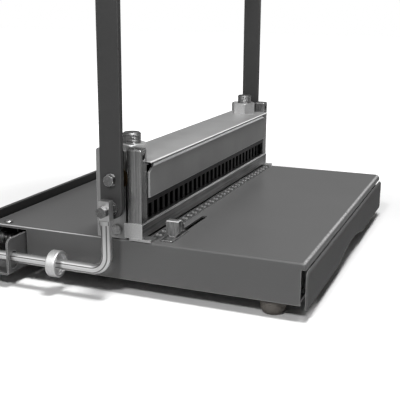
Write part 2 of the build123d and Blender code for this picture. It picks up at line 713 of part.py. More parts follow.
with BuildPart() as fixed_jaw:
    with BuildSketch(facing(FIXED_JAW_FRONT)):
        with Locations((0, (SKIRT_Z + REAR_PLATE_THICK + TABLE_UNDER) / 2)):
            Rectangle(2 * (BASE_HALF - SHEET - 0.1), TABLE_UNDER - SKIRT_Z - REAR_PLATE_THICK)
        with Locations((-GUIDE_X, GUIDE_Z), (GUIDE_X, GUIDE_Z)):
            Circle(GUIDE_R, mode=Mode.SUBTRACT)
    extrude(amount=-(BASE_BACK - FIXED_JAW_FRONT))
    chamfer(fixed_jaw.edges().filter_by(Axis.X).group_by(Axis.Z)[-1].sort_by(Axis.Y)[0], 1.5)
    for side in SIDES.values():
        with BuildSketch(across(side * BASE_HALF)):
            with Locations(*[(JAW_SCREW_Y, z) for z in JAW_SCREW_Z]):
                Circle(1.5)
        extrude(amount=-side * 12, mode=Mode.SUBTRACT)
fixed_jaw.part.label = "fixed_jaw"
export_step(fixed_jaw.part, "parts/fixed_jaw.step")

with BuildPart() as fixed_jaw_screws:
    for side in SIDES.values():
        with BuildSketch(across(side * BASE_HALF)):
            with Locations(*[(JAW_SCREW_Y, z) for z in JAW_SCREW_Z]):
                Circle(3)
        extrude(amount=side * 2)
        chamfer(outer_rims(fixed_jaw_screws, side), 0.8)
        with BuildSketch(across(side * BASE_HALF)):
            with Locations(*[(JAW_SCREW_Y, z) for z in JAW_SCREW_Z]):
                Circle(1.5)
        extrude(amount=-side * 12)
fixed_jaw_screws.part.label = "fixed_jaw_screws"
export_step(fixed_jaw_screws.part, "parts/fixed_jaw_screws.step")

BRACKET_FRONT = 92.0
BRACKET_THICK = 3.0
BRACKET_BACK = 135.0
BRACKET_LEDGE_IN = 180.0

with BuildPart() as guide_rods:
    with BuildSketch(facing(BRACKET_FRONT)):
        with Locations((-GUIDE_X, GUIDE_Z), (GUIDE_X, GUIDE_Z)):
            Circle(GUIDE_R)
    extrude(amount=-(BASE_BACK - BRACKET_FRONT))
    chamfer(guide_rods.edges().filter_by(GeomType.CIRCLE), 0.6)
guide_rods.part.label = "guide_rods"
export_step(guide_rods.part, "parts/guide_rods.step")

with BuildPart() as guide_brackets:
    for side in SIDES.values():
        with BuildSketch(facing(BRACKET_FRONT)):
            with Locations((side * GUIDE_X, (24 + TABLE_UNDER) / 2)):
                Rectangle(2 * (BASE_HALF - SHEET - 0.1 - GUIDE_X), TABLE_UNDER - 24)
            with Locations((side * GUIDE_X, GUIDE_Z)):
                Circle(GUIDE_R, mode=Mode.SUBTRACT)
        extrude(amount=-BRACKET_THICK)
        with BuildSketch(level(TABLE_UNDER)):
            with BuildLine():
                Polyline(
                    (side * BRACKET_LEDGE_IN, BRACKET_FRONT + BRACKET_THICK),
                    (side * BRACKET_LEDGE_IN, BRACKET_BACK),
                    (side * (BASE_HALF - SHEET - 0.1), BRACKET_BACK),
                    (side * (BASE_HALF - SHEET - 0.1), BRACKET_FRONT + BRACKET_THICK),
                    close=True,
                )
            make_face()
            with Locations((side * BRACKET_SCREW_X, BRACKET_SCREW_Y)):
                Circle(BRACKET_SCREW_R - 0.1, mode=Mode.SUBTRACT)
        extrude(amount=-SHEET)
guide_brackets.part.label = "guide_brackets"
export_step(guide_brackets.part, "parts/guide_brackets.step")

with BuildPart() as bracket_screws:
    with BuildSketch(level(TABLE_Z)):
        with Locations((-BRACKET_SCREW_X, BRACKET_SCREW_Y), (BRACKET_SCREW_X, BRACKET_SCREW_Y)):
            Circle(4.5)
    extrude(amount=2.4)
    chamfer(bracket_screws.edges().filter_by(GeomType.CIRCLE).group_by(Axis.Z)[-1], 1.2)
    with BuildSketch(level(TABLE_Z)):
        with Locations((-BRACKET_SCREW_X, BRACKET_SCREW_Y), (BRACKET_SCREW_X, BRACKET_SCREW_Y)):
            Circle(BRACKET_SCREW_R - 0.1)
    extrude(amount=-2 * SHEET)
bracket_screws.part.label = "bracket_screws"
export_step(bracket_screws.part, "parts/bracket_screws.step")

STOP_COLLAR_FRONT = 139.0

with BuildPart() as stop_collars:
    with BuildSketch(facing(STOP_COLLAR_FRONT)):
        with Locations((-GUIDE_X, GUIDE_Z), (GUIDE_X, GUIDE_Z)):
            Circle(GUIDE_R + 3)
            Circle(GUIDE_R, mode=Mode.SUBTRACT)
    extrude(amount=-(CHANNEL_BACK - SHEET - 0.4 - STOP_COLLAR_FRONT))
stop_collars.part.label = "stop_collars"
export_step(stop_collars.part, "parts/stop_collars.step")

# ================================================================ springs
SPRING_WIRE = 1.0
SPRING_TURNS = 3
CHANNEL_WIRE = 0.7
CHANNEL_TURNS = 6
HOLDER_LOW = 90.0

with BuildPart() as return_springs:
    for side in SIDES.values():
        foot = (side * COLUMN_X, COLUMN_Y, BAR_TOP + SPRING_WIRE)
        length = HOLDER_LOW - BAR_TOP - 2 * SPRING_WIRE
        with BuildLine() as coil:
            Helix(pitch=length / SPRING_TURNS, height=length, radius=COLUMN_R + 2.2, center=foot)
        with BuildSketch(coil.wires()[0] ^ 0):
            RegularPolygon(SPRING_WIRE, 6)
        sweep(path=coil.wires()[0])
return_springs.part.label = "return_springs"
export_step(return_springs.part, "parts/return_springs.step")

with BuildPart() as channel_springs:
    for side in SIDES.values():
        foot = (side * GUIDE_X, CHANNEL_WEB_BACK + CHANNEL_WIRE, GUIDE_Z)
        length = STOP_COLLAR_FRONT - CHANNEL_WEB_BACK - 2 * CHANNEL_WIRE
        with BuildLine() as coil:
            Helix(
                pitch=length / CHANNEL_TURNS,
                height=length,
                radius=GUIDE_R + 1.7,
                center=foot,
                direction=(0, 1, 0),
            )
        with BuildSketch(coil.wires()[0] ^ 0):
            RegularPolygon(CHANNEL_WIRE, 6)
        sweep(path=coil.wires()[0])
channel_springs.part.label = "channel_springs"
export_step(channel_springs.part, "parts/channel_springs.step")

# ================================================================ handle
SPIGOT_R = 6.0
SPIGOT_FLATS = 9.0
BOLT_R = 3.0
HEX_FLATS = 10.0
HEX_CHAMFER = 0.9
LINK_PIN_R = 3.0

for name, side in SIDES.items():
    with BuildPart() as handle_arm:
        with BuildSketch(across(side * ARM_IN)):
            with Locations((0, (PIN_Z + GRIP_Z) / 2)):
                SlotCenterToCenter(GRIP_Z - PIN_Z, ARM_WIDTH, rotation=90)
            with Locations((0, PIN_Z), (0, GRIP_Z)):
                Circle(BOLT_R, mode=Mode.SUBTRACT)
        extrude(amount=side * ARM_THICK)
        with BuildSketch(across(side * ARM_IN)) as spigot_hole:
            with Locations((0, PIVOT_Z)):
                Circle(SPIGOT_R)
                Rectangle(SPIGOT_FLATS, 2 * SPIGOT_R, mode=Mode.INTERSECT)
        extrude(amount=side * ARM_THICK, mode=Mode.SUBTRACT)
    handle_arm.part.label = f"handle_arm_{name}"
    export_step(handle_arm.part, f"parts/handle_arm_{name}.step")

GRIP_TUBE_R = 9.5
GRIP_TUBE_WALL = 2.5
GRIP_PLUG = 12.0
SLEEVE_R = 16.0
SLEEVE_HALF = 150.0

with BuildPart() as grip_bar:
    with BuildSketch(across(-ARM_IN)):
        with Locations((0, GRIP_Z)):
            Circle(GRIP_TUBE_R)
    extrude(amount=2 * ARM_IN)
    with BuildSketch(across(-ARM_IN + GRIP_PLUG)):
        with Locations((0, GRIP_Z)):
            Circle(GRIP_TUBE_R - GRIP_TUBE_WALL)
    extrude(amount=2 * (ARM_IN - GRIP_PLUG), mode=Mode.SUBTRACT)
    with BuildSketch(across(-ARM_IN)):
        with Locations((0, GRIP_Z)):
            Circle(BOLT_R)
    extrude(amount=2 * ARM_IN, mode=Mode.SUBTRACT)
grip_bar.part.label = "grip_bar"
export_step(grip_bar.part, "parts/grip_bar.step")

with BuildPart() as grip_sleeve:
    with BuildSketch(across(-SLEEVE_HALF)):
        with Locations((0, GRIP_Z)):
            Circle(SLEEVE_R)
    extrude(amount=2 * SLEEVE_HALF)
    chamfer(grip_sleeve.edges().filter_by(GeomType.CIRCLE), 2.5)
    with BuildSketch(across(-SLEEVE_HALF)):
        with Locations((0, GRIP_Z)):
            Circle(GRIP_TUBE_R)
    extrude(amount=2 * SLEEVE_HALF, mode=Mode.SUBTRACT)
grip_sleeve.part.label = "grip_sleeve"
export_step(grip_sleeve.part, "parts/grip_sleeve.step")

with BuildPart() as grip_bolts:
    for side in SIDES.values():
        with BuildSketch(across(side * ARM_OUT)):
            with Locations((0, GRIP_Z)):
                Circle(7)
        extrude(amount=side * 4)
        chamfer(outer_rims(grip_bolts, side), 1.8)
        with BuildSketch(across(side * (ARM_OUT + 4))):
            with Locations((0, GRIP_Z)):
                RegularPolygon(2.5, 6, major_radius=False)
        extrude(amount=-side * 2.5, mode=Mode.SUBTRACT)
        with BuildSketch(across(side * ARM_OUT)):
            with Locations((0, GRIP_Z)):
                Circle(BOLT_R)
        extrude(amount=-side * (ARM_THICK + GRIP_PLUG))
grip_bolts.part.label = "grip_bolts"
export_step(grip_bolts.part, "parts/grip_bolts.step")

# Cranks: short shafts through the side plates, each with an eccentric pin inside the head.
DISC_IN = 182.3
DISC_OUT = 185.6
DISC_R = 11.2
CRANK_PIN_IN = 176.9
PIVOT_BOLT_DEEP = 14.0
BOLT_HEAD_HIGH = 4.6

for name, side in SIDES.items():
    with BuildPart() as crank:
        with BuildSketch(across(side * DISC_IN)):
            with Locations((0, PIVOT_Z)):
                Circle(DISC_R)
        extrude(amount=side * (DISC_OUT - DISC_IN))
        with BuildSketch(across(side * DISC_OUT)):
            with Locations((0, PIVOT_Z)):
                Circle(SHAFT_R)
        extrude(amount=side * (ARM_IN - DISC_OUT))
        with BuildSketch(across(side * ARM_IN)):
            with Locations((0, PIVOT_Z)):
                Circle(SPIGOT_R)
                Rectangle(SPIGOT_FLATS, 2 * SPIGOT_R, mode=Mode.INTERSECT)
        extrude(amount=side * (ARM_THICK - 0.2))
        with BuildSketch(across(side * DISC_IN)):
            with Locations((CRANK_PIN_Y, CRANK_PIN_Z)):
                Circle(CRANK_PIN_R)
        extrude(amount=-side * (DISC_IN - CRANK_PIN_IN))
        with BuildSketch(across(side * ARM_OUT)):
            with Locations((0, PIVOT_Z)):
                Circle(BOLT_R)
        extrude(amount=-side * (ARM_THICK + PIVOT_BOLT_DEEP), mode=Mode.SUBTRACT)
    crank.part.label = f"crank_{name}"
    export_step(crank.part, f"parts/crank_{name}.step")

with BuildPart() as pivot_bolts:
    for side in SIDES.values():
        add(hexagon(side, ARM_OUT, BOLT_HEAD_HIGH, PIVOT_Z, 26))
        with BuildSketch(across(side * ARM_OUT)):
            with Locations((0, PIVOT_Z)):
                Circle(BOLT_R)
        extrude(amount=-side * (ARM_THICK + PIVOT_BOLT_DEEP))
pivot_bolts.part.label = "pivot_bolts"
export_step(pivot_bolts.part, "parts/pivot_bolts.step")

# Link pins: put in from outside through the rod's eye, nutted against the arm.
EYE_IN = 210.8
EYE_OUT = 218.8
PIN_HEAD_IN = 219.2
PIN_HEAD_HIGH = 5.8
LINK_NUT_HIGH = 5.4
NUT_FLANGE = 1.4
NUT_FLANGE_R = 7.1

with BuildPart() as link_pins:
    for side in SIDES.values():
        add(hexagon(side, PIN_HEAD_IN, PIN_HEAD_HIGH, PIN_Z, 32))
        with BuildSketch(across(side * PIN_HEAD_IN)):
            with Locations((0, PIN_Z)):
                Circle(LINK_PIN_R)
        extrude(amount=-side * (PIN_HEAD_IN - ARM_IN - 0.4))
link_pins.part.label = "link_pins"
export_step(link_pins.part, "parts/link_pins.step")

with BuildPart() as link_nuts:
    for side in SIDES.values():
        with BuildSketch(across(side * ARM_OUT)):
            with Locations((0, PIN_Z)):
                Circle(NUT_FLANGE_R)
        extrude(amount=side * NUT_FLANGE)
        add(hexagon(side, ARM_OUT + NUT_FLANGE, LINK_NUT_HIGH - NUT_FLANGE, PIN_Z, 25))
        with BuildSketch(across(side * ARM_OUT)):
            with Locations((0, PIN_Z)):
                Circle(LINK_PIN_R)
        extrude(amount=side * LINK_NUT_HIGH, mode=Mode.SUBTRACT)
link_nuts.part.label = "link_nuts"
export_step(link_nuts.part, "parts/link_nuts.step")

# ================================================================ press beam and punches
BEAM_HALF = 181.4
BEAM_FRONT = -26.2
BEAM_BACK = 12.0
BEAM_LOW = 96.0
BEAM_TOP = 114.0
BUSH_OUT_R = 10.6
YOKE_IN = 176.8
YOKE_FRONT = -13.8
YOKE_BACK = 2.0
YOKE_TOP = 127.3
YOKE_SLOT_LONG = 11.4
YOKE_SLOT_WIDE = 2 * (CRANK_PIN_R + 0.2)
YOKE_SLOT_Y = -(ECCENTRICITY - CRANK_PIN_Y) / 2
BEAM_SCREW_X = [-120.0, -40.0, 40.0, 120.0]

with BuildPart() as press_beam:
    with BuildSketch(level(BEAM_LOW)):
        with Locations((0, (BEAM_FRONT + BEAM_BACK) / 2)):
            Rectangle(2 * BEAM_HALF, BEAM_BACK - BEAM_FRONT)
    extrude(amount=BEAM_TOP - BEAM_LOW)
    chamfer(press_beam.edges().filter_by(Axis.X).group_by(Axis.Z)[-1], 1)
    for side in SIDES.values():
        with BuildSketch(across(side * YOKE_IN)):
            with Locations(((YOKE_FRONT + YOKE_BACK) / 2, (BEAM_TOP + YOKE_TOP) / 2)):
                Rectangle(YOKE_BACK - YOKE_FRONT, YOKE_TOP - BEAM_TOP)
            with Locations((YOKE_SLOT_Y, CRANK_PIN_Z)):
                SlotOverall(YOKE_SLOT_LONG, YOKE_SLOT_WIDE, mode=Mode.SUBTRACT)
        extrude(amount=side * (BEAM_HALF - YOKE_IN))
    with BuildSketch(level(BEAM_LOW)):
        with Locations((-COLUMN_X, COLUMN_Y), (COLUMN_X, COLUMN_Y)):
            Circle(BUSH_OUT_R)
        with Locations(*[(x, 0) for x in BEAM_SCREW_X]):
            Circle(2.5)
    extrude(amount=BEAM_TOP - BEAM_LOW, mode=Mode.SUBTRACT)
press_beam.part.label = "press_beam"
export_step(press_beam.part, "parts/press_beam.step")

with BuildPart() as beam_bushes:
    with BuildSketch(level(BEAM_LOW)):
        with Locations((-COLUMN_X, COLUMN_Y), (COLUMN_X, COLUMN_Y)):
            Circle(BUSH_OUT_R)
            Circle(COLUMN_R + RUN, mode=Mode.SUBTRACT)
    extrude(amount=BEAM_TOP - BEAM_LOW + 2)
beam_bushes.part.label = "beam_bushes"
export_step(beam_bushes.part, "parts/beam_bushes.step")

PUNCH_LOW = 60.0
PUNCH_HEAD = 2.0
PUNCH_HEAD_EDGE = 0.9

with BuildPart() as punch_holder:
    with BuildSketch(level(HOLDER_LOW)):
        with Locations((0, (BEAM_FRONT + BEAM_BACK) / 2)):
            Rectangle(2 * BEAM_HALF, BEAM_BACK - BEAM_FRONT)
        with Locations((0, PUNCH_Y)):
            with GridLocations(HOLE_PITCH, 1, HOLE_COUNT, 1):
                Rectangle(PUNCH_WIDE, PUNCH_DEEP, mode=Mode.SUBTRACT)
        with Locations((-COLUMN_X, COLUMN_Y), (COLUMN_X, COLUMN_Y)):
            Circle(COLUMN_R + 0.6, mode=Mode.SUBTRACT)
        with Locations(*[(x, 0) for x in BEAM_SCREW_X]):
            Circle(2.5, mode=Mode.SUBTRACT)
    extrude(amount=BEAM_LOW - HOLDER_LOW)
    with BuildSketch(level(BEAM_LOW)):
        with Locations((0, PUNCH_Y)):
            with GridLocations(HOLE_PITCH, 1, HOLE_COUNT, 1):
                Rectangle(PUNCH_WIDE + 2 * PUNCH_HEAD_EDGE, PUNCH_DEEP + 2 * PUNCH_HEAD_EDGE)
    extrude(amount=-PUNCH_HEAD, mode=Mode.SUBTRACT)
punch_holder.part.label = "punch_holder"
export_step(punch_holder.part, "parts/punch_holder.step")

with BuildPart() as punches:
    with BuildSketch(level(PUNCH_LOW)):
        with Locations((0, PUNCH_Y)):
            with GridLocations(HOLE_PITCH, 1, HOLE_COUNT, 1):
                Rectangle(PUNCH_WIDE, PUNCH_DEEP)
    extrude(amount=BEAM_LOW - PUNCH_LOW)
    with BuildSketch(level(BEAM_LOW)):
        with Locations((0, PUNCH_Y)):
            with GridLocations(HOLE_PITCH, 1, HOLE_COUNT, 1):
                Rectangle(PUNCH_WIDE + 2 * PUNCH_HEAD_EDGE, PUNCH_DEEP + 2 * PUNCH_HEAD_EDGE)
    extrude(amount=-PUNCH_HEAD)
punches.part.label = "punches"
export_step(punches.part, "parts/punches.step")

with BuildPart() as beam_screws:
    with BuildSketch(level(HOLDER_LOW)):
        with Locations(*[(x, 0) for x in BEAM_SCREW_X]):
            Circle(4.2)
    extrude(amount=-4)
    with BuildSketch(level(HOLDER_LOW - 4)):
        with Locations(*[(x, 0) for x in BEAM_SCREW_X]):
            RegularPolygon(2, 6, major_radius=False)
    extrude(amount=2, mode=Mode.SUBTRACT)
    with BuildSketch(level(HOLDER_LOW)):
        with Locations(*[(x, 0) for x in BEAM_SCREW_X]):
            Circle(2.5)
    extrude(amount=BEAM_TOP - HOLDER_LOW)
beam_screws.part.label = "beam_screws"
export_step(beam_screws.part, "parts/beam_screws.step")

# ================================================================ closer rods and collars
BLADE_WIDE = 11.0
BLADE_TOP = 98.5
NECK_LOW = 77.0
RING_R = 5.9
RING_FRONT = 122.0
COLLAR_R = 13.0
COLLAR_RECESS_R = 10.0
COLLAR_RECESS = 4.0

for name, side in SIDES.items():
    with BuildPart() as closer_rod:
        with BuildLine(across(side * ROD_X)) as rod_path:
            Line((0, NECK_LOW), (0, ROD_Z + ROD_BEND))
            RadiusArc((0, ROD_Z + ROD_BEND), (ROD_BEND, ROD_Z), -ROD_BEND)
            Line((ROD_BEND, ROD_Z), (ROD_END, ROD_Z))
        with BuildSketch(Plane(origin=(side * ROD_X, 0, NECK_LOW), z_dir=(0, 0, -1))):
            Circle(ROD_R)
        sweep(path=rod_path.wires()[0])
        chamfer(closer_rod.edges().filter_by(GeomType.CIRCLE).group_by(Axis.Y)[-1], 1.5)
        with BuildSketch(facing(RING_FRONT)):
            with Locations((side * ROD_X, ROD_Z)):
                Circle(RING_R)
        extrude(amount=-2)
        with BuildSketch(level(NECK_LOW - 1)):
            with Locations((side * ROD_X, 0)):
                Circle(6.5)
        extrude(amount=4)
        with BuildSketch(across(side * EYE_IN)):
            with Locations((0, (NECK_LOW + BLADE_TOP) / 2)):
                RectangleRounded(BLADE_WIDE, BLADE_TOP - NECK_LOW, 1)
        extrude(amount=side * (EYE_OUT - EYE_IN))
        with BuildSketch(across(side * EYE_IN)):
            with Locations((0, PIN_Z)):
                Circle(LINK_PIN_R + RUN)
        extrude(amount=side * (EYE_OUT - EYE_IN), mode=Mode.SUBTRACT)
    closer_rod.part.label = f"closer_rod_{name}"
    export_step(closer_rod.part, f"parts/closer_rod_{name}.step")

    with BuildPart() as setting_collar:
        with BuildSketch(facing(COLLAR_FRONT)):
            with Locations((side * ROD_X, ROD_Z)):
                Circle(COLLAR_R)
        extrude(amount=-(COLLAR_BACK - COLLAR_FRONT))
        chamfer(setting_collar.edges().filter_by(GeomType.CIRCLE), 0.8)
        with BuildSketch(facing(COLLAR_FRONT)):
            with Locations((side * ROD_X, ROD_Z)):
                Circle(COLLAR_RECESS_R)
        extrude(amount=-COLLAR_RECESS, mode=Mode.SUBTRACT)
        with BuildSketch(facing(COLLAR_FRONT)):
            with Locations((side * ROD_X, ROD_Z)):
                Circle(ROD_R + RUN)
        extrude(amount=-(COLLAR_BACK - COLLAR_FRONT), mode=Mode.SUBTRACT)
    setting_collar.part.label = f"setting_collar_{name}"
    export_step(setting_collar.part, f"parts/setting_collar_{name}.step")

# ================================================================ closer channel and moving jaw
ROD_SLOT_WIDE = 11.6
ROD_SLOT_LOW = 18.5
ROD_SLOT_TOP = 36.5
ROD_SLOT_MID = (ROD_SLOT_LOW + ROD_SLOT_TOP) / 2
CHANNEL_SCREW_X = [-150.0, -50.0, 50.0, 150.0]
CHANNEL_SCREW_R = 2.0

with BuildPart() as closer_channel:
    with BuildSketch(across(-CHANNEL_HALF)):
        with BuildLine():
            Polyline(
                (CHANNEL_FRONT, CHANNEL_TOP),
                (CHANNEL_FRONT, CHANNEL_LOW),
                (CHANNEL_BACK, CHANNEL_LOW),
                (CHANNEL_BACK, CHANNEL_TOP),
                (CHANNEL_BACK - SHEET, CHANNEL_TOP),
                (CHANNEL_BACK - SHEET, CHANNEL_LOW + SHEET),
                (CHANNEL_WEB_BACK, CHANNEL_LOW + SHEET),
                (CHANNEL_WEB_BACK, CHANNEL_TOP),
                close=True,
            )
        make_face()
    extrude(amount=2 * CHANNEL_HALF)
    fillet(closer_channel.edges().filter_by(Axis.X).group_by(Axis.Z)[0], 2.5)
    fillet(closer_channel.edges().filter_by(Axis.X).filter_by_position(
        Axis.Z, CHANNEL_LOW + SHEET - 0.1, CHANNEL_LOW + SHEET + 0.1
    ), 0.5)
    upright = closer_channel.edges().filter_by(Axis.Y).group_by(Axis.Z)[-1]
    fillet(upright, 6)
    with BuildSketch(facing(CHANNEL_FRONT)):
        with Locations((-ROD_X, ROD_SLOT_MID), (ROD_X, ROD_SLOT_MID)):
            SlotOverall(ROD_SLOT_TOP - ROD_SLOT_LOW, ROD_SLOT_WIDE, rotation=90)
        with Locations((-GUIDE_X, GUIDE_Z), (GUIDE_X, GUIDE_Z)):
            Circle(GUIDE_R + RUN)
    extrude(amount=-SHEET, mode=Mode.SUBTRACT)
    with BuildSketch(facing(CHANNEL_BACK)):
        with Locations((-GUIDE_X, GUIDE_Z), (GUIDE_X, GUIDE_Z)):
            Circle(GUIDE_R + RUN)
        with Locations(*[(x, GUIDE_Z) for x in CHANNEL_SCREW_X]):
            Circle(CHANNEL_SCREW_R)
    extrude(amount=SHEET, mode=Mode.SUBTRACT)
closer_channel.part.label = "closer_channel"
export_step(closer_channel.part, "parts/closer_channel.step")

with BuildPart() as moving_jaw:
    with BuildSketch(facing(JAW_FRONT)):
        with Locations((0, (JAW_LOW + JAW_TOP) / 2)):
            Rectangle(2 * JAW_HALF, JAW_TOP - JAW_LOW)
        with Locations((-GUIDE_X, GUIDE_Z), (GUIDE_X, GUIDE_Z)):
            Circle(GUIDE_R + RUN, mode=Mode.SUBTRACT)
    extrude(amount=-JAW_THICK)
    chamfer(moving_jaw.edges().filter_by(Axis.X).group_by(Axis.Z)[-1].sort_by(Axis.Y)[-1], 2)
    with BuildSketch(facing(JAW_FRONT)):
        with Locations(*[(x, GUIDE_Z) for x in CHANNEL_SCREW_X]):
            Circle(CHANNEL_SCREW_R)
    extrude(amount=-(JAW_THICK - 1), mode=Mode.SUBTRACT)
moving_jaw.part.label = "moving_jaw"
export_step(moving_jaw.part, "parts/moving_jaw.step")

with BuildPart() as jaw_screws:
    with BuildSketch(facing(CHANNEL_BACK - SHEET)):
        with Locations(*[(x, GUIDE_Z) for x in CHANNEL_SCREW_X]):
            Circle(3.8)
    extrude(amount=2.4)
    chamfer(jaw_screws.edges().filter_by(GeomType.CIRCLE).group_by(Axis.Y)[0], 1.2)
    with BuildSketch(facing(CHANNEL_BACK - SHEET)):
        with Locations(*[(x, GUIDE_Z) for x in CHANNEL_SCREW_X]):
            Circle(CHANNEL_SCREW_R)
    extrude(amount=-(SHEET + JAW_THICK - 1))
jaw_screws.part.label = "jaw_screws"
export_step(jaw_screws.part, "parts/jaw_screws.step")

# ================================================================ side stop
STOP_LEFT = -186.0
STOP_RIGHT = -146.0
STOP_FRONT = -54.0
STOP_BACK = -41.0
TAB_THICK = 1.6
STOP_BLOCK_LEFT = -172.0
STOP_BLOCK_RIGHT = -164.0
STOP_BLOCK_LOW = 61.0
STOP_BLOCK_TOP = 73.0

with BuildPart() as side_stop:
    with BuildSketch(level(TABLE_Z)):
        with Locations(((STOP_LEFT + STOP_RIGHT) / 2, (STOP_FRONT + STOP_BACK) / 2)):
            RectangleRounded(STOP_RIGHT - STOP_LEFT, STOP_BACK - STOP_FRONT, 2)
    extrude(amount=TAB_THICK)
    with BuildSketch(across(STOP_BLOCK_LEFT)):
        with BuildLine():
            Polyline(
                (SLOT_Y - 3, TABLE_Z + TAB_THICK),
                (SLOT_Y + 3, TABLE_Z + TAB_THICK),
                (STOP_BACK, STOP_BLOCK_LOW),
                (STOP_BACK, STOP_BLOCK_TOP),
                (STOP_FRONT, STOP_BLOCK_TOP),
                (STOP_FRONT, STOP_BLOCK_LOW),
                close=True,
            )
        make_face()
    extrude(amount=STOP_BLOCK_RIGHT - STOP_BLOCK_LEFT)
    chamfer(side_stop.faces().sort_by(Axis.Z)[-1].edges(), 0.6)
    with BuildSketch(level(TABLE_Z)):
        with Locations((STOP_SCREW_X, SLOT_Y)):
            Circle(STUD_R + RUN)
    extrude(amount=TAB_THICK, mode=Mode.SUBTRACT)
side_stop.part.label = "side_stop"
export_step(side_stop.part, "parts/side_stop.step")

CLAMP_TOP = TABLE_UNDER - 0.2

with BuildPart() as clamp_plate:
    with BuildSketch(level(CLAMP_TOP)):
        with Locations((STOP_SCREW_X, SLOT_Y)):
            Rectangle(12, 11)
            Circle(STUD_R + RUN, mode=Mode.SUBTRACT)
    extrude(amount=-3)
clamp_plate.part.label = "clamp_plate"
export_step(clamp_plate.part, "parts/clamp_plate.step")

KNOB_R = 4.2
KNOB_LOW = TABLE_Z + TAB_THICK + 0.3

with BuildPart() as thumb_screw:
    with BuildSketch(level(KNOB_LOW)):
        with Locations((STOP_SCREW_X, SLOT_Y)):
            Circle(KNOB_R)
    extrude(amount=9)
    chamfer(thumb_screw.edges().filter_by(GeomType.CIRCLE), 0.6)
    with BuildSketch(level(KNOB_LOW)):
        with Locations((STOP_SCREW_X, SLOT_Y)):
            Circle(STUD_R)
    extrude(amount=-(KNOB_LOW - CLAMP_TOP + 4))
thumb_screw.part.label = "thumb_screw"
export_step(thumb_screw.part, "parts/thumb_screw.step")

# ================================================================ chip drawer
TRAY_FRONT = FRONT_FACE + TRAY_SHEET
TRAY_TOE = -165.0           # the tray's floor starts here, and slopes up to the front
TRAY_TOE_TOP = 29.0

with BuildPart() as tray_space:
    with BuildSketch(across(-TRAY_HALF + TRAY_SHEET)):
        with BuildLine():
            Polyline(
                (TRAY_FRONT + TRAY_SHEET, TRAY_TOP + 1),
                (TRAY_FRONT + TRAY_SHEET, TRAY_TOE_TOP + 0.6),
                (TRAY_TOE + 0.6, TRAY_LOW + TRAY_SHEET),
                (TRAY_BACK - TRAY_SHEET, TRAY_LOW + TRAY_SHEET),
                (TRAY_BACK - TRAY_SHEET, TRAY_TOP + 1),
                close=True,
            )
        make_face()
    extrude(amount=2 * (TRAY_HALF - TRAY_SHEET))

with BuildPart() as drawer_tray:
    with BuildSketch(across(-TRAY_HALF)):
        with BuildLine():
            Polyline(
                (TRAY_FRONT, TRAY_TOP),
                (TRAY_FRONT, TRAY_TOE_TOP),
                (TRAY_TOE, TRAY_LOW),
                (TRAY_BACK, TRAY_LOW),
                (TRAY_BACK, TRAY_TOP),
                close=True,
            )
        make_face()
    extrude(amount=2 * TRAY_HALF)
    add(tray_space.part, mode=Mode.SUBTRACT)
    for side in SIDES.values():
        with BuildSketch(level(TRAY_FLANGE_LOW)):
            with Locations((side * (TRAY_HALF + 5.5), (RUNNER_FRONT - 6 + RUNNER_BACK) / 2)):
                Rectangle(11, RUNNER_BACK - RUNNER_FRONT + 6)
        extrude(amount=TRAY_SHEET)
drawer_tray.part.label = "drawer_tray"
export_step(drawer_tray.part, "parts/drawer_tray.step")

FRONT_DEEP = 2.5
FRONT_EDGE_R = 2.3
FRONT_CORNER_R = 5.0
NOTCH_R = 232.0             # the finger notch is a shallow arc
NOTCH_HIGH = 10.8
NOTCH_X = 5.0

with BuildPart() as front_space:
    with BuildSketch(facing(FRONT_FACE + FRONT_DEEP)):
        with Locations((0, (FRONT_LOW + FRONT_TOP) / 2)):
            RectangleRounded(
                2 * (BASE_HALF - TRAY_SHEET),
                FRONT_TOP - FRONT_LOW - 2 * TRAY_SHEET,
                FRONT_CORNER_R - TRAY_SHEET,
            )
    extrude(amount=FRONT_DEEP - TRAY_SHEET)
    fillet(front_space.faces().sort_by(Axis.Y)[0].edges(), FRONT_EDGE_R - TRAY_SHEET)

with BuildPart() as drawer_front:
    with BuildSketch(facing(FRONT_FACE + FRONT_DEEP)):
        with Locations((0, (FRONT_LOW + FRONT_TOP) / 2)):
            RectangleRounded(2 * BASE_HALF, FRONT_TOP - FRONT_LOW, FRONT_CORNER_R)
    extrude(amount=FRONT_DEEP)
    fillet(drawer_front.faces().sort_by(Axis.Y)[0].edges(), FRONT_EDGE_R)
    add(front_space.part, mode=Mode.SUBTRACT)
    with BuildSketch(facing(FRONT_FACE + FRONT_DEEP)):
        with Locations((NOTCH_X, FRONT_LOW + NOTCH_HIGH - NOTCH_R)):
            Circle(NOTCH_R)
    extrude(amount=FRONT_DEEP, mode=Mode.SUBTRACT)
drawer_front.part.label = "drawer_front"
export_step(drawer_front.part, "parts/drawer_front.step")
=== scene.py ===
# Manual wire-binding punch with a closer along its back edge.
# Metres.  +X to the operator's right, +Y to the back, +Z up, bench at z = 0.
import math
import bmesh
import bpy
from mathutils import Matrix, Vector


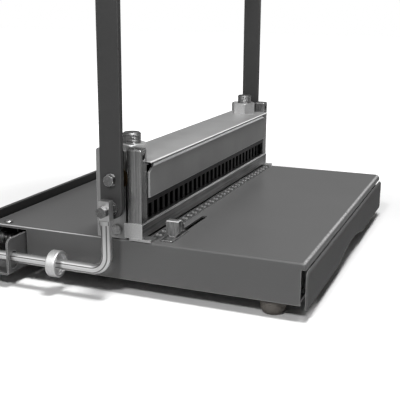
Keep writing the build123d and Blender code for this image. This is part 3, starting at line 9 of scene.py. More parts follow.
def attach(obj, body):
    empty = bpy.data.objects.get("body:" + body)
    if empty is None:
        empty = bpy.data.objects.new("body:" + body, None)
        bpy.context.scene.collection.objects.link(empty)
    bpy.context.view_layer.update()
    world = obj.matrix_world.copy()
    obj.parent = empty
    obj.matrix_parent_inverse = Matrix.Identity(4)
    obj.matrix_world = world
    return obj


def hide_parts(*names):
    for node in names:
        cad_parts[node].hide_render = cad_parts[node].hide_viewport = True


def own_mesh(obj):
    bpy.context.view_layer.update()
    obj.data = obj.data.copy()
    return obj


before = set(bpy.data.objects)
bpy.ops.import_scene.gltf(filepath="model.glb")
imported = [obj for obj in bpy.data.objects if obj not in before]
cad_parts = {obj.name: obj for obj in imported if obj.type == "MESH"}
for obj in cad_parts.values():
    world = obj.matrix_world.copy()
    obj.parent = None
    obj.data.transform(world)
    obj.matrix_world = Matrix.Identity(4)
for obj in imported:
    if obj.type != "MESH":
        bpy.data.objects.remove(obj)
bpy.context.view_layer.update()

MM = 0.001


# ---------------------------------------------------------------- bench, walls and light
# A white paper sweep under and behind the machine.  A broad soft box hangs over it, tipped to the
# operator's left, and a small lamp on that side throws the crisp shadows.
def linear(code):
    """Linear RGBA of an sRGB hex code."""
    shades = [int(code[i:i + 2], 16) / 255 for i in (1, 3, 5)]
    return tuple(s / 12.92 if s <= 0.04045 else ((s + 0.055) / 1.055) ** 2.4 for s in shades) + (1.0,)


def join(tree, node, inputs):
    """Sets a node's inputs; each is a number, a colour or another node's output."""
    for name, value in inputs.items():
        if isinstance(value, bpy.types.NodeSocket):
            tree.links.new(value, node.inputs[name])
        else:
            node.inputs[name].default_value = value


def add(tree, kind, settings=None, inputs=None):
    """Adds a node with its settings and inputs."""
    made = tree.nodes.new(kind)
    for name, value in (settings or {}).items():
        setattr(made, name, value)
    join(tree, made, inputs or {})
    return made


MIX_SHARE, MIX_FROM, MIX_TO, MIXED = 0, 6, 7, 2             # a Mix node's sockets for colours

SWEEP_WHITE = "#f4f4f4"
SWEEP_IN_METAL = "#b0b0b0"  # the paper's shade in reflections
SWEEP_HALF = 6.0
LIFT_FROM = 0.30            # past this distance the paper is lifted to pure white, out of the shadows
LIFT_TO = 0.70

floor_mesh = bpy.data.meshes.new("bench_top")
corners = [(x * SWEEP_HALF, y * SWEEP_HALF, 0) for x, y in ((-1, -1), (1, -1), (1, 1), (-1, 1))]
floor_mesh.from_pydata(corners, [], [(0, 1, 2, 3)])
bench_top = bpy.data.objects.new("bench_top", floor_mesh)
bpy.context.scene.collection.objects.link(bench_top)

# White paper: matt, with soft shadows under the machine that fade into a plain white ground.
bench_paper = bpy.data.materials.new("white_paper_sweep")
bench_paper.use_nodes = True
tree = bench_paper.node_tree
tree.nodes.clear()
rays = add(tree, "ShaderNodeLightPath")
spot = add(tree, "ShaderNodeTexCoord").outputs["Object"]
reach = add(tree, "ShaderNodeVectorMath", {"operation": "LENGTH"}, {0: spot})
lift = add(tree, "ShaderNodeMapRange", {"interpolation_type": "SMOOTHSTEP"},
           {"Value": reach.outputs["Value"], "From Min": LIFT_FROM, "From Max": LIFT_TO})
shown = add(tree, "ShaderNodeMath", {"operation": "MULTIPLY"},
            {0: rays.outputs["Is Camera Ray"], 1: lift.outputs[0]})
paper = add(tree, "ShaderNodeMix", {"data_type": "RGBA"},
            {MIX_SHARE: rays.outputs["Is Glossy Ray"], MIX_FROM: linear(SWEEP_WHITE),
             MIX_TO: linear(SWEEP_IN_METAL)})
matt = add(tree, "ShaderNodeBsdfDiffuse", None, {"Color": paper.outputs[MIXED]})
glow = add(tree, "ShaderNodeEmission", None, {"Color": linear("#ffffff"), "Strength": shown.outputs[0]})
both = add(tree, "ShaderNodeAddShader", None, {0: matt.outputs[0], 1: glow.outputs[0]})
add(tree, "ShaderNodeOutputMaterial", None, {"Surface": both.outputs[0]})
floor_mesh.materials.append(bench_paper)

BACKDROP_WAY = (0.93, 0.30, 0.20)       # from the machine towards the white backdrop
BACKDROP_LEVEL = 0.36
REFLECTOR_WAY = (-0.80, 0.15, 0.58)     # a white board over the operator's left, seen in bright metal
REFLECTOR_LEVEL = 0.95
BOARD_EDGE, BOARD_MIDDLE = 0.38, 0.97   # how squarely a direction has to face a board
ROOM_LEVEL = 0.08           # the dark room on the other sides
SKY_LEVEL = 0.15            # share of all this that lights the machine
world = bpy.data.worlds.new("white_studio")
world.use_nodes = True
tree = world.node_tree
tree.nodes.clear()
way = add(tree, "ShaderNodeTexCoord").outputs["Generated"]
boards = []
for board_way, board_level in ((BACKDROP_WAY, BACKDROP_LEVEL), (REFLECTOR_WAY, REFLECTOR_LEVEL)):
    facing = add(tree, "ShaderNodeVectorMath", {"operation": "DOT_PRODUCT"}, {0: way, 1: board_way})
    board = add(tree, "ShaderNodeMapRange", {"interpolation_type": "SMOOTHSTEP"},
                {"Value": facing.outputs["Value"], "From Min": BOARD_EDGE, "From Max": BOARD_MIDDLE,
                 "To Min": ROOM_LEVEL, "To Max": board_level})
    boards.append(board.outputs[0])
backdrop = add(tree, "ShaderNodeMath", {"operation": "MAXIMUM"}, {0: boards[0], 1: boards[1]})
rays = add(tree, "ShaderNodeLightPath")
mirrored = add(tree, "ShaderNodeMath", {"operation": "MAXIMUM"},
               {0: rays.outputs["Is Glossy Ray"], 1: rays.outputs["Is Transmission Ray"]})
share = add(tree, "ShaderNodeMapRange", None,
            {"Value": mirrored.outputs[0], "To Min": SKY_LEVEL, "To Max": 1.0})
room = add(tree, "ShaderNodeMath", {"operation": "MULTIPLY"}, {0: backdrop.outputs[0], 1: share.outputs[0]})
level = add(tree, "ShaderNodeMix", None,
            {"Factor": rays.outputs["Is Camera Ray"], "A": room.outputs[0], "B": 1.0})
sky = add(tree, "ShaderNodeBackground", None, {"Color": linear("#ffffff"), "Strength": level.outputs[0]})
add(tree, "ShaderNodeOutputWorld", None, {"Surface": sky.outputs[0]})
bpy.context.scene.world = world


def soft_lamp(name, place, aim, size, power):
    """A square soft box of that size in metres at place, turned to aim."""
    lamp = bpy.data.lights.new(name, "AREA")
    lamp.size = size
    lamp.energy = power
    holder = bpy.data.objects.new(name, lamp)
    holder.location = place
    holder.rotation_mode = "QUATERNION"
    holder.rotation_quaternion = (Vector(place) - Vector(aim)).to_track_quat("Z", "Y")
    bpy.context.scene.collection.objects.link(holder)


MACHINE_MIDDLE = (0, 0, 0.084)
soft_lamp("overhead_soft_box", (-0.31, -0.34, 1.70), MACHINE_MIDDLE, size=0.42, power=27)
soft_lamp("left_lamp", (-1.60, -0.08, 1.36), MACHINE_MIDDLE, size=0.25, power=17)
soft_lamp("rim_soft_box", (1.10, -0.42, 0.42), MACHINE_MIDDLE, size=0.30, power=0.8)


# ---------------------------------------------------------------- camera
# It stands low at the operator's front left, a little above the head, so that the throat runs away
# from it to the right.
CAMERA_PLACE = (-808.2 * MM, -332.8 * MM, 274.0 * MM)
CAMERA_AZIMUTH = math.radians(-68.02)
CAMERA_ELEVATION = math.radians(14.49)
CAMERA_ROLL = math.radians(0.38)
CAMERA_LENS = 68.5          # on the default 36 mm sensor

camera = bpy.data.objects.new("camera", bpy.data.cameras.new("camera"))
camera.data.lens = CAMERA_LENS
away = Vector((
    math.sin(CAMERA_AZIMUTH) * math.cos(CAMERA_ELEVATION),
    -math.cos(CAMERA_AZIMUTH) * math.cos(CAMERA_ELEVATION),
    math.sin(CAMERA_ELEVATION),
))
aimed = away.to_track_quat("Z", "Y").to_matrix() @ Matrix.Rotation(CAMERA_ROLL, 3, "Z")
camera.matrix_world = Matrix.Translation(CAMERA_PLACE) @ aimed.to_4x4()
bpy.context.scene.collection.objects.link(camera)
bpy.context.scene.camera = camera
bpy.context.scene.view_settings.view_transform = "Standard"


# ---------------------------------------------------------------- base
# Folded 2 mm mild steel, welded at its corners and sprayed all over with grey powder.  Painted
# highlights lie along the side folds and the table's nose, and its drawer front is matt.
def new_finish(name):
    """An empty material, its node tree, its shader and the place of each point in metres."""
    made = bpy.data.materials.new(name)
    made.use_nodes = True
    nodes = made.node_tree
    nodes.nodes.clear()
    shader = add(nodes, "ShaderNodeBsdfPrincipled")
    add(nodes, "ShaderNodeOutputMaterial", None, {"Surface": shader.outputs[0]})
    place = add(nodes, "ShaderNodeTexCoord").outputs["Object"]
    return made, nodes, shader, place


def per_metre(size_mm):
    """Texture scale whose features are that many millimetres across."""
    return 1 / (size_mm * MM)


EDGE_SAMPLES = 6
EDGE_OUT, EDGE_FULL = 0.995, 0.9        # how far the rounded normal turns from the flat one, as a cosine


def edge_share(nodes, wide_mm):
    """1 on an edge, falling to 0 at that distance from it."""
    rounded = add(nodes, "ShaderNodeBevel", {"samples": EDGE_SAMPLES}, {"Radius": wide_mm * MM})
    plain = add(nodes, "ShaderNodeNewGeometry").outputs["Normal"]
    turn = add(nodes, "ShaderNodeVectorMath", {"operation": "DOT_PRODUCT"}, {0: rounded.outputs[0], 1: plain})
    return add(nodes, "ShaderNodeMapRange", None,
               {"Value": turn.outputs["Value"], "From Min": EDGE_OUT, "From Max": EDGE_FULL}).outputs[0]


def lit_edges(nodes, colour, edge_shade, wide_mm):
    """The colour, lighter close to each edge: partly a thin coat or metal rubbed bright, partly a painted
    highlight for the light the edges catch.
    """
    return add(nodes, "ShaderNodeMix", {"data_type": "RGBA"},
               {MIX_SHARE: edge_share(nodes, wide_mm), MIX_FROM: colour,
                MIX_TO: linear(edge_shade)}).outputs[MIXED]


PEEL_MM = 1.6               # waves in the stoved powder
PEEL_HIGH_MM = 0.012
CLOUD_MM = 60.0             # slow change of shade where the powder lies thicker
# Edges are lightened this far in: thin powder, and a painted highlight.
EDGE_THIN_AND_LIT_MM = 0.9               # the powder draws back from an edge by this much
GLAZE_MM, GLAZE = 1.2, 0.12  # and melts to a glossier skin there


def powder_coat(name, shade, thin_shade, edge_shade, roughness, sheen):
    """Polyester powder stoved on steel: an even satin grey with a low orange peel and lighter edges."""
    made, nodes, shader, place = new_finish(name)
    clouds = add(nodes, "ShaderNodeTexNoise", None,
                 {"Vector": place, "Scale": per_metre(CLOUD_MM), "Detail": 3.0})
    tint = add(nodes, "ShaderNodeMix", {"data_type": "RGBA"},
               {MIX_SHARE: clouds.outputs[0], MIX_FROM: linear(shade), MIX_TO: linear(thin_shade)})
    peel = add(nodes, "ShaderNodeTexNoise", None,
               {"Vector": place, "Scale": per_metre(PEEL_MM), "Detail": 2.0})
    relief = add(nodes, "ShaderNodeBump", None, {"Height": peel.outputs[0], "Distance": PEEL_HIGH_MM * MM})
    join(nodes, shader, {
        "Base Color": lit_edges(nodes, tint.outputs[MIXED], edge_shade, EDGE_THIN_AND_LIT_MM),
        "Normal": relief.outputs[0],
        "Roughness": roughness,
        "Specular IOR Level": sheen,
        "Coat Weight": edge_share(nodes, GLAZE_MM),
        "Coat Roughness": GLAZE,
    })
    return made


SAME_POINT_MM = 0.001
SAME_FLAT, SHARP = math.radians(0.2), math.radians(35)


def finish_nodes(names, material, edge_mm, whole=True):
    """Gives CAD nodes their material, makes each flat one face where asked, and breaks sharp edges."""
    for name in names:
        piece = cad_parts[name]
        piece.data.materials.clear()
        piece.data.materials.append(material)
        joined = piece.modifiers.new("joined_faces", "WELD")
        joined.merge_threshold = SAME_POINT_MM * MM
        if whole:
            flats = piece.modifiers.new("whole_flats", "DECIMATE")
            flats.decimate_type = "DISSOLVE"
            flats.angle_limit = SAME_FLAT
        broken = piece.modifiers.new("broken_edges", "BEVEL")
        broken.width = edge_mm * MM
        broken.segments = 2
        broken.limit_method = "ANGLE"
        broken.angle_limit = SHARP
        piece.modifiers.new("even_shading", "WEIGHTED_NORMAL")


# Zones in which light or shade is painted into a material's colour.
def painted_light_zone(made, *borders, most=1.0):
    """Share of a zone with soft borders, up to most.  A border is an axis, or "out" for the distance
    from the middle along X, and the mm at which the zone starts and is full."""
    nodes = made.node_tree
    point = add(nodes, "ShaderNodeSeparateXYZ", None, {0: add(nodes, "ShaderNodeTexCoord").outputs["Object"]})
    inside = most
    for axis, start_mm, full_mm in borders:
        along = point.outputs["X" if axis == "out" else axis]
        if axis == "out":
            along = add(nodes, "ShaderNodeMath", {"operation": "ABSOLUTE"}, {0: along}).outputs[0]
        border = add(nodes, "ShaderNodeMapRange", {"interpolation_type": "SMOOTHSTEP"},
                     {"Value": along, "From Min": start_mm * MM, "From Max": full_mm * MM})
        inside = add(nodes, "ShaderNodeMath", {"operation": "MULTIPLY"},
                     {0: inside, 1: border.outputs[0]}).outputs[0]
    return inside


def over_shade(made, share, shade):
    """Lays a shade over a material's own colour by that share."""
    nodes = made.node_tree
    shader = next(node for node in nodes.nodes if node.type == "BSDF_PRINCIPLED")
    below = shader.inputs["Base Color"].links[0].from_socket
    laid = add(nodes, "ShaderNodeMix", {"data_type": "RGBA"},
               {MIX_SHARE: share, MIX_FROM: below, MIX_TO: linear(shade)})
    join(nodes, shader, {"Base Color": laid.outputs[MIXED]})


# Satin grey, with a painted highlight along each side fold and a patchy painted highlight on the nose.
grey_powder = powder_coat("grey_powder_coated_steel", shade="#565656", thin_shade="#5c5c5c",
                          edge_shade="#8d8d8d", roughness=0.38, sheen=0.32)
over_shade(grey_powder, painted_light_zone(grey_powder, ("out", 193.0, 193.7), ("Z", 54.3, 55.1), ("Y", -40, 70)),
           "#dddddd")
# Noise breaks the nose's painted highlight into patches.
NOSE_GLINT_MM, NOSE_GLINT_LEAST, NOSE_GLINT_MOST = 3.0, 0.25, 0.8
nodes = grey_powder.node_tree
nose_glint_noise = add(nodes, "ShaderNodeTexNoise", None,
             {"Vector": add(nodes, "ShaderNodeTexCoord").outputs["Object"], "Scale": per_metre(NOSE_GLINT_MM),
              "Detail": 3.0})
nose_glint_share = add(nodes, "ShaderNodeMapRange", None,
              {"Value": nose_glint_noise.outputs[0], "From Min": 0.35, "From Max": 0.65, "To Min": NOSE_GLINT_LEAST,
               "To Max": NOSE_GLINT_MOST})
over_shade(grey_powder, painted_light_zone(grey_powder, ("Z", 53.6, 54.8), ("Y", -180.6, -182.4),
                                  most=nose_glint_share.outputs[0]), "#b5b5b5")
finish_nodes(["base_housing"], grey_powder, edge_mm=0.4)
finish_nodes(["rear_foot_plate"], grey_powder, edge_mm=0.3)

# The same powder with a matt skin, which hardly mirrors the bench in front of it.
front_powder = powder_coat("matt_powder_coated_front", shade="#525252", thin_shade="#575757",
                           edge_shade="#919191", roughness=0.75, sheen=0.1)
finish_nodes(["drawer_front"], front_powder, edge_mm=0.4)


# ---------------------------------------------------------------- rubber feet
# Four feet moulded in black-brown nitrile rubber, each held by a screw sunk in its underside.
# The mould leaves a satin skin and fine turned rings round the wall.
BLOOM_MM, SKIN_DEEP_MM = 9.0, 0.03      # the skin is drawn coarser than a real one, so that it shows


def moulded_rubber(name, shade, worn_shade, roughness, skin_mm):
    """Moulded rubber: near black and dull, with a fine skin and a bloom of grey where it is handled."""
    made, nodes, shader, place = new_finish(name)
    bloom = add(nodes, "ShaderNodeTexNoise", None,
                {"Vector": place, "Scale": per_metre(BLOOM_MM), "Detail": 4.0})
    tint = add(nodes, "ShaderNodeMix", {"data_type": "RGBA"},
               {MIX_SHARE: bloom.outputs[0], MIX_FROM: linear(shade), MIX_TO: linear(worn_shade)})
    skin = add(nodes, "ShaderNodeTexNoise", None,
               {"Vector": place, "Scale": per_metre(skin_mm), "Detail": 3.0})
    gloss = add(nodes, "ShaderNodeMapRange", None,
                {"Value": skin.outputs[0], "To Min": roughness - 0.08, "To Max": roughness + 0.1})
    relief = add(nodes, "ShaderNodeBump", None, {"Height": skin.outputs[0], "Distance": SKIN_DEEP_MM * MM})
    join(nodes, shader, {"Base Color": tint.outputs[MIXED], "Roughness": gloss.outputs[0],
                         "Normal": relief.outputs[0]})
    return made


SMOOTH_BELOW = math.radians(32)


def turned(name, profile, places, steps, material, relief=None):
    """A turned form at each place: profile is (radius, height) in mm, anticlockwise.  It is a ring if
    the profile stays off the axis.  relief gives what is added to the radius at an angle and height."""
    form = bmesh.new()
    for x, y in places:
        rings = []
        for radius, height in profile:
            ring = []
            for step in range(steps if radius else 1):
                angle = 2 * math.pi * step / steps
                reach = radius + (relief(angle, height) if relief and radius else 0)
                ring.append(form.verts.new(((x + reach * math.cos(angle)) * MM,
                                            (y + reach * math.sin(angle)) * MM, height * MM)))
            rings.append(ring)
        hollow = all(radius for radius, _ in profile)
        for low, high in zip(rings, rings[1:] + rings[:1] if hollow else rings[1:]):
            for step in range(steps):
                corners = (low[step % len(low)], low[(step + 1) % steps % len(low)],
                           high[(step + 1) % steps % len(high)], high[step % len(high)])
                form.faces.new(list(dict.fromkeys(corners)))
    bmesh.ops.recalc_face_normals(form, faces=form.faces)
    mesh = bpy.data.meshes.new(name)
    form.to_mesh(mesh)
    form.free()
    mesh.shade_smooth()
    mesh.set_sharp_from_angle(angle=SMOOTH_BELOW)
    mesh.materials.append(material)
    piece = bpy.data.objects.new(name, mesh)
    bpy.context.scene.collection.objects.link(piece)
    return piece


FOOT_X, FOOT_FRONT_Y, FOOT_BACK_Y, FOOT_SIDES = 178, -151.5, 172, 56    # mm, as all sizes of the feet
FOOT_BORE, FOOT_BORE_TOP, FOOT_SCREW = 5.0, 7.0, 2.5
SOLE_R, TOE_R, TOE_HIGH = 8.5, 9.6, 0.9
FOOT_SLIM, FOOT_R, FOOT_TOP = 11.1, 12.5, 15.7
WALL_LOW, WALL_FULL, WALL_TOP, WALL_STEPS = 3.2, 8.6, 13.1, 30      # the wall bulges, and is full half way
NECK_R, NECK_HIGH, RIM_R, RIM_HIGH = 11.8, 13.8, 12.2, 14.5
RING_MM, RING_DEEP = 1.65, 0.35
foot_profile = [(FOOT_BORE, 0), (SOLE_R, 0), (TOE_R, TOE_HIGH)]
for step in range(WALL_STEPS + 1):
    height = WALL_LOW + (WALL_TOP - WALL_LOW) * step / WALL_STEPS
    rise = min(1, (height - WALL_LOW) / (WALL_FULL - WALL_LOW))
    groove = RING_DEEP * max(0, math.sin(2 * math.pi * height / RING_MM)) ** 2
    foot_profile.append((FOOT_SLIM + (FOOT_R - FOOT_SLIM) * (1 - (1 - rise) ** 2) - groove, height))
foot_profile += [(NECK_R, NECK_HIGH), (RIM_R, RIM_HIGH), (RIM_R, FOOT_TOP), (FOOT_SCREW, FOOT_TOP),
                 (FOOT_SCREW, FOOT_BORE_TOP), (FOOT_BORE, FOOT_BORE_TOP)]
# Brown-black rubber with a satin skin, greyer where the bench has rubbed it.
foot_rubber = moulded_rubber("moulded_nitrile_rubber", shade="#4a4641", worn_shade="#5f5a55",
                             roughness=0.5, skin_mm=0.7)
feet = turned("ringed_rubber_feet", foot_profile,
              [(x, y) for y in (FOOT_FRONT_Y, FOOT_BACK_Y) for x in (-FOOT_X, FOOT_X)], FOOT_SIDES,
              foot_rubber)
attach(feet, "base")
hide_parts("rubber_feet")


# ---------------------------------------------------------------- die bed, bar and throat
# The bed, the stripper bar and the stop behind the throat are flat-ground mild steel, bolted to the
# table.  The bar rests on zinc plated spacers, which leave the throat open.
STEEL_CLOUD_MM, LINE_DEEP_MM = 25.0, 0.02


def worked_steel(name, shade, dark_shade, edge_shade, roughness, line_mm, run_axes="X", run_mm=60.0,
                 edge_mm=0.8):
    """Bare steel with the lines of the wheel or the die that shaped it, running along those axes.
    They are drawn coarser than real ones, which would be too fine to show."""
    made, nodes, shader, place = new_finish(name)
    across, along = per_metre(line_mm), per_metre(run_mm)
    spread = tuple(along if axis in run_axes else across for axis in "XYZ")
    drawn = add(nodes, "ShaderNodeMapping", {"vector_type": "POINT"}, {"Vector": place, "Scale": spread})
    lines = add(nodes, "ShaderNodeTexNoise", None, {"Vector": drawn.outputs[0], "Scale": 1.0, "Detail": 3.0})
    clouds = add(nodes, "ShaderNodeTexNoise", None,
                 {"Vector": place, "Scale": per_metre(STEEL_CLOUD_MM), "Detail": 3.0})
    blend = add(nodes, "ShaderNodeMath", {"operation": "MULTIPLY_ADD"},
                {0: clouds.outputs[0], 1: 0.5, 2: lines.outputs[0]})
    level = add(nodes, "ShaderNodeMapRange", None,
                {"Value": blend.outputs[0], "From Min": 0.45, "From Max": 1.05})
    tint = add(nodes, "ShaderNodeMix", {"data_type": "RGBA"},
               {MIX_SHARE: level.outputs[0], MIX_FROM: linear(dark_shade), MIX_TO: linear(shade)})
    gloss = add(nodes, "ShaderNodeMapRange", None,
                {"Value": lines.outputs[0], "To Min": roughness + 0.1, "To Max": roughness - 0.1})
    relief = add(nodes, "ShaderNodeBump", None, {"Height": lines.outputs[0], "Distance": LINE_DEEP_MM * MM})
    join(nodes, shader, {
        "Base Color": lit_edges(nodes, tint.outputs[MIXED], edge_shade, edge_mm),
        "Roughness": gloss.outputs[0],
        "Normal": relief.outputs[0],
        "Metallic": 1.0,
    })
    return made


# A dull silver with fine lines along X, bright along each edge, and a painted reflection lightens the sawn
# ends.
ground_steel = worked_steel("flat_ground_mild_steel", shade="#a3a3a3", dark_shade="#5d5d5d",
                            edge_shade="#f4f4f4", roughness=0.42, line_mm=1.4, edge_mm=1.3)
over_shade(ground_steel, painted_light_zone(ground_steel, ("out", 194.2, 194.8), most=0.6), "#f2f2f2")
finish_nodes(["stripper_bar", "die_bed"], ground_steel, edge_mm=0.25)
finish_nodes(["paper_backstop"], ground_steel, edge_mm=0.5)

HANDLED_MM, GRAIN_DEEP_MM, ZINC_EDGE_MM = 14.0, 0.015, 0.5


def zinc_plate(name, shade, dull_shade, roughness, spangle_mm=2.5):
    """Zinc plating: a clear silver, clouded by its grains and by handling, bright on the edges.
    Plated grains are too fine to show, so they are drawn one or two millimetres across."""
    made, nodes, shader, place = new_finish(name)
    grains = add(nodes, "ShaderNodeTexNoise", None,
                 {"Vector": place, "Scale": per_metre(spangle_mm), "Detail": 4.0, "Roughness": 0.6})
    clouds = add(nodes, "ShaderNodeTexNoise", None,
                 {"Vector": place, "Scale": per_metre(HANDLED_MM), "Detail": 2.0})
    blend = add(nodes, "ShaderNodeMath", {"operation": "MULTIPLY_ADD"},
                {0: clouds.outputs[0], 1: 0.6, 2: grains.outputs[0]})
    level = add(nodes, "ShaderNodeMapRange", None,
                {"Value": blend.outputs[0], "From Min": 0.5, "From Max": 1.1})
    tint = add(nodes, "ShaderNodeMix", {"data_type": "RGBA"},
               {MIX_SHARE: level.outputs[0], MIX_FROM: linear(dull_shade), MIX_TO: linear(shade)})
    gloss = add(nodes, "ShaderNodeMapRange", None,
                {"Value": grains.outputs[0], "To Min": roughness - 0.08, "To Max": roughness + 0.12})
    relief = add(nodes, "ShaderNodeBump", None,
                 {"Height": grains.outputs[0], "Distance": GRAIN_DEEP_MM * MM})
    join(nodes, shader, {
        "Base Color": lit_edges(nodes, tint.outputs[MIXED], "#f3f3f3", ZINC_EDGE_MM),
        "Roughness": gloss.outputs[0],
        "Normal": relief.outputs[0],
        "Metallic": 1.0,
    })
    return made


# Bright barrel plating: the lightest grey on the table, slightly mottled.
bright_zinc = zinc_plate("bright_zinc_plated_steel", shade="#d7d7d7", dull_shade="#acacac", roughness=0.3)
finish_nodes(["throat_spacers", "foot_screws"], bright_zinc, edge_mm=0.2)


# ---------------------------------------------------------------- wire rail
# A pressed steel strip along the throat, with two low teeth at each hole to hang a wire on.  It is
# chemically blackened and spot-fixed to the table.
RAIL_TOP, TOOTH_CLEAR = 57.1, 57.4      # mm: the teeth rise from the strip's top, and are bright from here
RUB_MM, RUB_DEEP_MM, RAIL_EDGE_MM = 1.1, 0.02, 0.5          # scratches, drawn coarse enough to show
# A dull dark strip, with small bright points in pairs on the teeth: a painted highlight for the light their
# tops catch.
rail_steel, nodes, shader, place = new_finish("blackened_strip_with_bright_teeth")
height = add(nodes, "ShaderNodeSeparateXYZ", None, {0: place}).outputs["Z"]
tooth_highlight = add(nodes, "ShaderNodeMapRange", None,
            {"Value": height, "From Min": RAIL_TOP * MM, "From Max": TOOTH_CLEAR * MM})
rub = add(nodes, "ShaderNodeTexNoise", None, {"Vector": place, "Scale": per_metre(RUB_MM), "Detail": 3.0})
strip = add(nodes, "ShaderNodeMix", {"data_type": "RGBA"},
            {MIX_SHARE: rub.outputs[0], MIX_FROM: linear("#565656"), MIX_TO: linear("#7d7d7d")})
edged = lit_edges(nodes, strip.outputs[MIXED], "#e9e9e9", RAIL_EDGE_MM)
tint = add(nodes, "ShaderNodeMix", {"data_type": "RGBA"},
           {MIX_SHARE: tooth_highlight.outputs[0], MIX_FROM: edged, MIX_TO: linear("#f5f5f5")})
gloss = add(nodes, "ShaderNodeMapRange", None, {"Value": rub.outputs[0], "To Min": 0.35, "To Max": 0.55})
relief = add(nodes, "ShaderNodeBump", None, {"Height": rub.outputs[0], "Distance": RUB_DEEP_MM * MM})
join(nodes, shader, {"Base Color": tint.outputs[MIXED], "Roughness": gloss.outputs[0],
                     "Normal": relief.outputs[0], "Metallic": 1.0})
finish_nodes(["wire_rail"], rail_steel, edge_mm=0.2)


# ---------------------------------------------------------------- side plates, posts and columns
# Sawn and ground steel plates stand at both ends, each with a cold drawn square post in front of
# it.  Two turned columns, threaded at the top, carry the head under large nuts.

# Ground plate: an even light grey, faintly lined upright.
plate_steel = worked_steel("ground_steel_plate", shade="#b5b5b5", dark_shade="#8c8c8c",
                           edge_shade="#e3e3e3", roughness=0.45, line_mm=1.2, run_axes="Z")
finish_nodes(["side_plate_left", "side_plate_right"], plate_steel, edge_mm=0.4)
# Drawn bar: a smoother skin with long upright lines, and corners that catch the light.
drawn_post = worked_steel("cold_drawn_square_bar", shade="#a8a8a8", dark_shade="#727272",
                          edge_shade="#ffffff", roughness=0.26, line_mm=1.6, run_axes="Z", edge_mm=1.4)
finish_nodes(["guide_post_left", "guide_post_right"], drawn_post, edge_mm=0.3)
# Dull zinc on the small fasteners: mid grey, so that they don't glitter.
screw_steel = zinc_plate("dull_zinc_plated_fasteners", shade="#b6b6b6", dull_shade="#767676",
                         roughness=0.36, spangle_mm=1.6)
finish_nodes(["side_plate_bolts", "post_set_screws"], screw_steel, edge_mm=0.25)
# Sintered bronze soaked in oil: a dark warm brown.
bush_bronze = worked_steel("oiled_sintered_bronze", shade="#4a3a26", dark_shade="#33281a",
                           edge_shade="#6b5436", roughness=0.5, line_mm=0.6, run_mm=3.0)
finish_nodes(["pivot_bushes", "beam_bushes"], bush_bronze, edge_mm=0.2)
# Bright zinc on the nuts: almost white where they face the light.
nut_zinc = zinc_plate("bright_zinc_plated_nuts", shade="#f8f8f8", dull_shade="#d9d9d9", roughness=0.4,
                      spangle_mm=1.6)
finish_nodes(["column_nuts"], nut_zinc, edge_mm=0.5)

COLUMN_X, COLUMN_Y, COLUMN_SIDES = 166, -3, 48              # mm, as all sizes of the columns
BED_LOW, SHOULDER_LOW, PLATE_UNDER, COLUMN_TOP = 46.0, 125.0, 129.0, 155.0
COLUMN_R, SHOULDER_R, CHAMFER = 9.0, 10.5, 1.5
THREAD_LOW, THREAD_TOP, THREAD_RINGS = 143.0, 153.25, 41
THREAD_PITCH, THREAD_DEEP = 1.5, 0.75


def thread_depth(angle, height):
    """How far the M18 x 1.5 thread cuts into the column there, in mm."""
    if not THREAD_LOW < height < THREAD_TOP:
        return 0
    turn = (height / THREAD_PITCH - angle / (2 * math.pi)) % 1
    return -THREAD_DEEP * (1 - abs(2 * turn - 1))


column_profile = [(0, BED_LOW), (COLUMN_R, BED_LOW), (COLUMN_R, SHOULDER_LOW), (SHOULDER_R, SHOULDER_LOW),
                  (SHOULDER_R, PLATE_UNDER), (COLUMN_R, PLATE_UNDER)]
column_profile += [(COLUMN_R, THREAD_LOW + (THREAD_TOP - THREAD_LOW) * step / THREAD_RINGS)
                   for step in range(THREAD_RINGS + 1)]
column_profile += [(COLUMN_R, COLUMN_TOP - CHAMFER), (COLUMN_R - CHAMFER, COLUMN_TOP), (0, COLUMN_TOP)]
# Turned bar: darker than the nuts, and broken up by the thread.
bright_bar = worked_steel("bright_turned_bar", shade="#898989", dark_shade="#3d3d3d",
                          edge_shade="#c5c5c5", roughness=0.5, line_mm=1.6, run_axes="Z", run_mm=40.0)
for side_name, column_x in (("left", -COLUMN_X), ("right", COLUMN_X)):
    column = turned("threaded_column_" + side_name, column_profile, [(column_x, COLUMN_Y)], COLUMN_SIDES,
                    bright_bar, thread_depth)
    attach(column, "base")
    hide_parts("column_" + side_name)


# ---------------------------------------------------------------- press beam and punches
# A steel beam slides on the columns and drives 28 hardened square punches through the bar below it.
# Beam, holder and punches are chemically blackened and oiled.

# Blackened tool steel, its near-black partly a painted shade for the shadow under the head: dark
# posts in the window, with a thin grey line at their ground corners.
punch_steel = worked_steel("blackened_and_shaded_tool_steel", shade="#2c2c2c", dark_shade="#1f1f1f",
                           edge_shade="#565656", roughness=0.42, line_mm=0.7, run_axes="Z")
finish_nodes(["punches"], punch_steel, edge_mm=0.15)
# Blackened bar: a near-black, oily ground behind the punches.
beam_steel = worked_steel("blackened_steel_bar", shade="#3b3b3b", dark_shade="#292929",
                          edge_shade="#5d5d5d", roughness=0.45, line_mm=0.9)
finish_nodes(["press_beam", "punch_holder"], beam_steel, edge_mm=0.3)
finish_nodes(["beam_screws"], screw_steel, edge_mm=0.1)


# ---------------------------------------------------------------- covers of the head
# Three folded 2 mm sheets sprayed with an air-dried silver enamel.  The columns' nuts clamp the top
# one, and small screws hold the back one.
FLAKE_MM, FLAKE_DEEP_MM = 0.8, 0.01     # real flake is far finer, and wouldn't show
# The enamel's edges are lightened this far in: rubbed paint, and a painted highlight.
DRIFT_MM, EDGE_RUBBED_AND_LIT_MM = 45.0, 1.2


